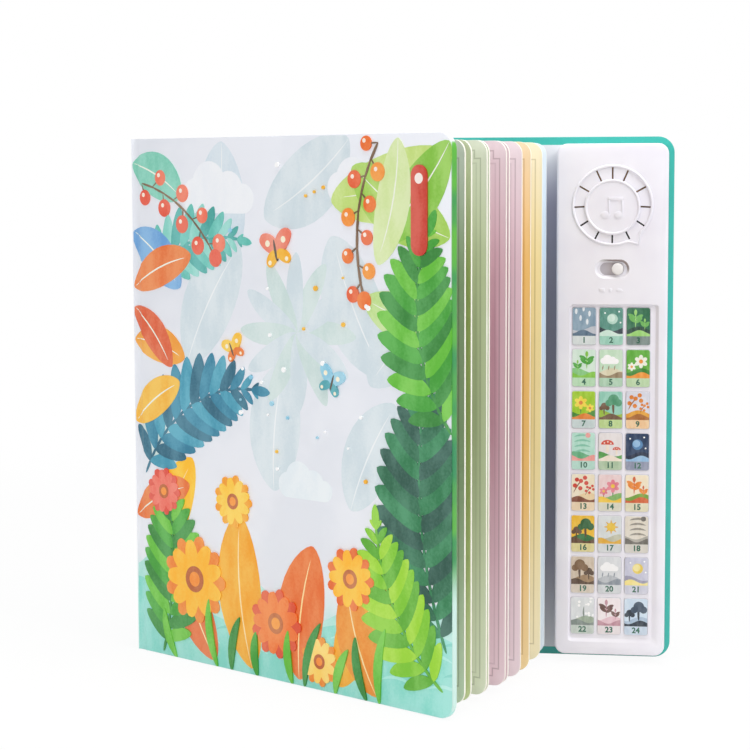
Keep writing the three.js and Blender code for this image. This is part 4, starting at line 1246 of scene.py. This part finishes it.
for index, picture in enumerate(keys["pictures"]):
    keyPicture(index, picture)
print("keys printed")


# Raised marks moulded on the module's face
relief = {
    "discX": 240.25,
    "discZ": 225.6,
    "noteHeight": 0.45,
    "markZ": 185.3,
    "markX": (235.5, 239.6, 244.0),
    "markHeight": 0.3,
}


def moulding(form, height, x, z):
    # a flat form in XY becomes a low moulding with softened rims
    thicken(form, height, 0.1)
    bmesh.ops.recalc_face_normals(form, faces=form.faces)
    rims = [edge for edge in form.edges if all(vert.co.z > height / 2 for vert in edge.verts)]
    roundEdges(form, rims, min(0.12, height * 0.4), 2)
    bmesh.ops.translate(form, vec=(x, z, 0), verts=form.verts)
    return form


def gather(forms):
    whole = bmesh.new()
    for form in forms:
        pour(form, whole)
        form.free()
    return whole


beads = {
    "outerRadius": 19.1,
    "outerZ": 226.6,
    "innerRadius": 12.9,
    "innerZ": 225.7,
    "thick": 0.68,
    "height": 0.62,
    "tailAngle": 146,
    "tailHalf": 11,
    "tailReach": 22.6,
}


def bead(name, points):
    # a half-round moulding along a closed path on the module's face
    curve = bpy.data.curves.new(name, "CURVE")
    curve.dimensions = "3D"
    curve.bevel_depth = beads["thick"]
    curve.bevel_resolution = 3
    line = curve.splines.new("POLY")
    line.points.add(len(points) - 1)
    for target, (x, z) in zip(line.points, points):
        target.co = (x, z, 0, 1)
    line.use_cyclic_u = True
    bm = curveForm(curve, 1e-4)
    bmesh.ops.scale(bm, vec=(1, 1, beads["height"] / beads["thick"]), verts=bm.verts)
    matrix = toBook @ Matrix.Translation((0, book["moduleFaceY"], 0)) @ faceReader
    piece = settle(name, bm, matrix, [shellPlastic], 60)
    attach(piece, "back_cover")


def clockPoint(radius, degrees, z):
    angle = math.radians(90 - degrees)
    return (relief["discX"] + radius * math.cos(angle), z + radius * math.sin(angle))


def speakerBeads():
    start = beads["tailAngle"] + beads["tailHalf"]
    sweep = 360 - 2 * beads["tailHalf"]
    radius, z = beads["outerRadius"], beads["outerZ"]
    outer = [clockPoint(radius, start + sweep * step / 90, z) for step in range(91)]
    outer.append(clockPoint(beads["tailReach"], beads["tailAngle"], z))
    bead("speaker_rim_bead", outer)
    radius, z = beads["innerRadius"], beads["innerZ"]
    bead("speaker_disc_bead", [clockPoint(radius, 360 * step / 80, z) for step in range(80)])


speakerBeads()


def moduleRelief():
    x, z = relief["discX"], relief["discZ"]
    high = relief["noteHeight"]
    forms = []
    for dx in (-3.4, 3.0):
        forms.append(moulding(roundForm(2.1, 24, 0.78), high, x + dx, z - 3.6))
        forms.append(moulding(panelForm(1.4, 2.1, 0, 7.4), high, x + dx, z - 3.4))
    forms.append(moulding(panelForm(-2.0, 5.1, 3.4, 5.0), high + 0.01, x, z))
    low, z = relief["markHeight"], relief["markZ"]
    first, middle, last = relief["markX"]
    forms.append(moulding(panelForm(-1.3, 1.3, -0.9, 0.9, 0.3), low, first, z))
    forms.append(moulding(roundForm(0.8, 16), low, middle, z))
    forms.append(moulding(bladeForm(3.0, 1.5, 0.12, 0.1), low, last - 1.5, z - 0.3))
    matrix = toBook @ Matrix.Translation((0, book["moduleFaceY"], 0)) @ faceReader
    piece = settle("module_relief", gather(forms), matrix, [shellPlastic], 40)
    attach(piece, "back_cover")


moduleRelief()
print("relief raised")


# Studio
studio = {
    "floorRadius": 6.0,
    "floorDrop": 0.0004,
    "floorTone": "#f4f4f4",
    "floorGlow": 0.93,
    "floorFade": (350, 800),
    "sky": 0.48,
    "aim": (0.15, -0.03, 0.13),
    "lamps": [
        ("key_lamp", (1.5, -1.0, 1.5), 0.8, 13.0),
        ("side_lamp", (-1.3, -1.5, 0.9), 1.4, 9.6),
        ("top_lamp", (0.3, -0.2, 1.2), 0.7, 7.5),
    ],
}


def floorPaint():
    # white to the camera, with a faint shadow near the book
    recipe = Recipe("studio_floor")
    away = recipe.node("ShaderNodeVectorMath", {"operation": "LENGTH"}, {0: recipe.place()}, out="Value")
    direct = recipe.node("ShaderNodeLightPath", out="Is Camera Ray")
    mirrored = recipe.node("ShaderNodeLightPath", out="Is Glossy Ray")
    glow = recipe.node("ShaderNodeEmission", None, {"Color": shade("#ffffff"), "Strength": 1.0})
    cover = recipe.node("ShaderNodeBsdfDiffuse", None, {"Color": shade(studio["floorTone"])})
    rise = recipe.soft(away, *studio["floorFade"]) * (1 - studio["floorGlow"])
    share = recipe.work("MAXIMUM", direct, mirrored) * (studio["floorGlow"] + rise)
    return recipe.close(recipe.node("ShaderNodeMixShader", None, {0: share, 1: cover, 2: glow}))


def makeFloor():
    bm = bmesh.new()
    bmesh.ops.create_circle(bm, cap_ends=True, radius=studio["floorRadius"], segments=64)
    bmesh.ops.translate(bm, vec=(0, 0, -studio["floorDrop"]), verts=bm.verts)
    mesh = bpy.data.meshes.new("floor")
    bm.to_mesh(mesh)
    bm.free()
    mesh.materials.append(floorPaint())
    floor = bpy.data.objects.new("floor", mesh)
    scene.collection.objects.link(floor)


def makeSky():
    # white behind the book, dimmer as a light
    recipe = Recipe("studio", world=True)
    white = shade("#ffffff")
    sky = recipe.node("ShaderNodeBackground", None, {"Color": white, "Strength": studio["sky"]})
    plain = recipe.node("ShaderNodeBackground", None, {"Color": white, "Strength": 1.0})
    direct = recipe.node("ShaderNodeLightPath", out="Is Camera Ray")
    mixed = recipe.node("ShaderNodeMixShader", None, {0: direct, 1: sky, 2: plain})
    scene.world = recipe.close(mixed, "ShaderNodeOutputWorld")


def makeLamps():
    for name, place, size, power in studio["lamps"]:
        light = bpy.data.lights.new(name, "AREA")
        light.shape = "DISK"
        light.size = size
        light.energy = power
        lamp = bpy.data.objects.new(name, light)
        way = Vector(studio["aim"]) - Vector(place)
        lamp.matrix_world = Matrix.Translation(place) @ way.to_track_quat("-Z", "Y").to_matrix().to_4x4()
        scene.collection.objects.link(lamp)


makeFloor()
makeSky()
makeLamps()
print("studio lit")
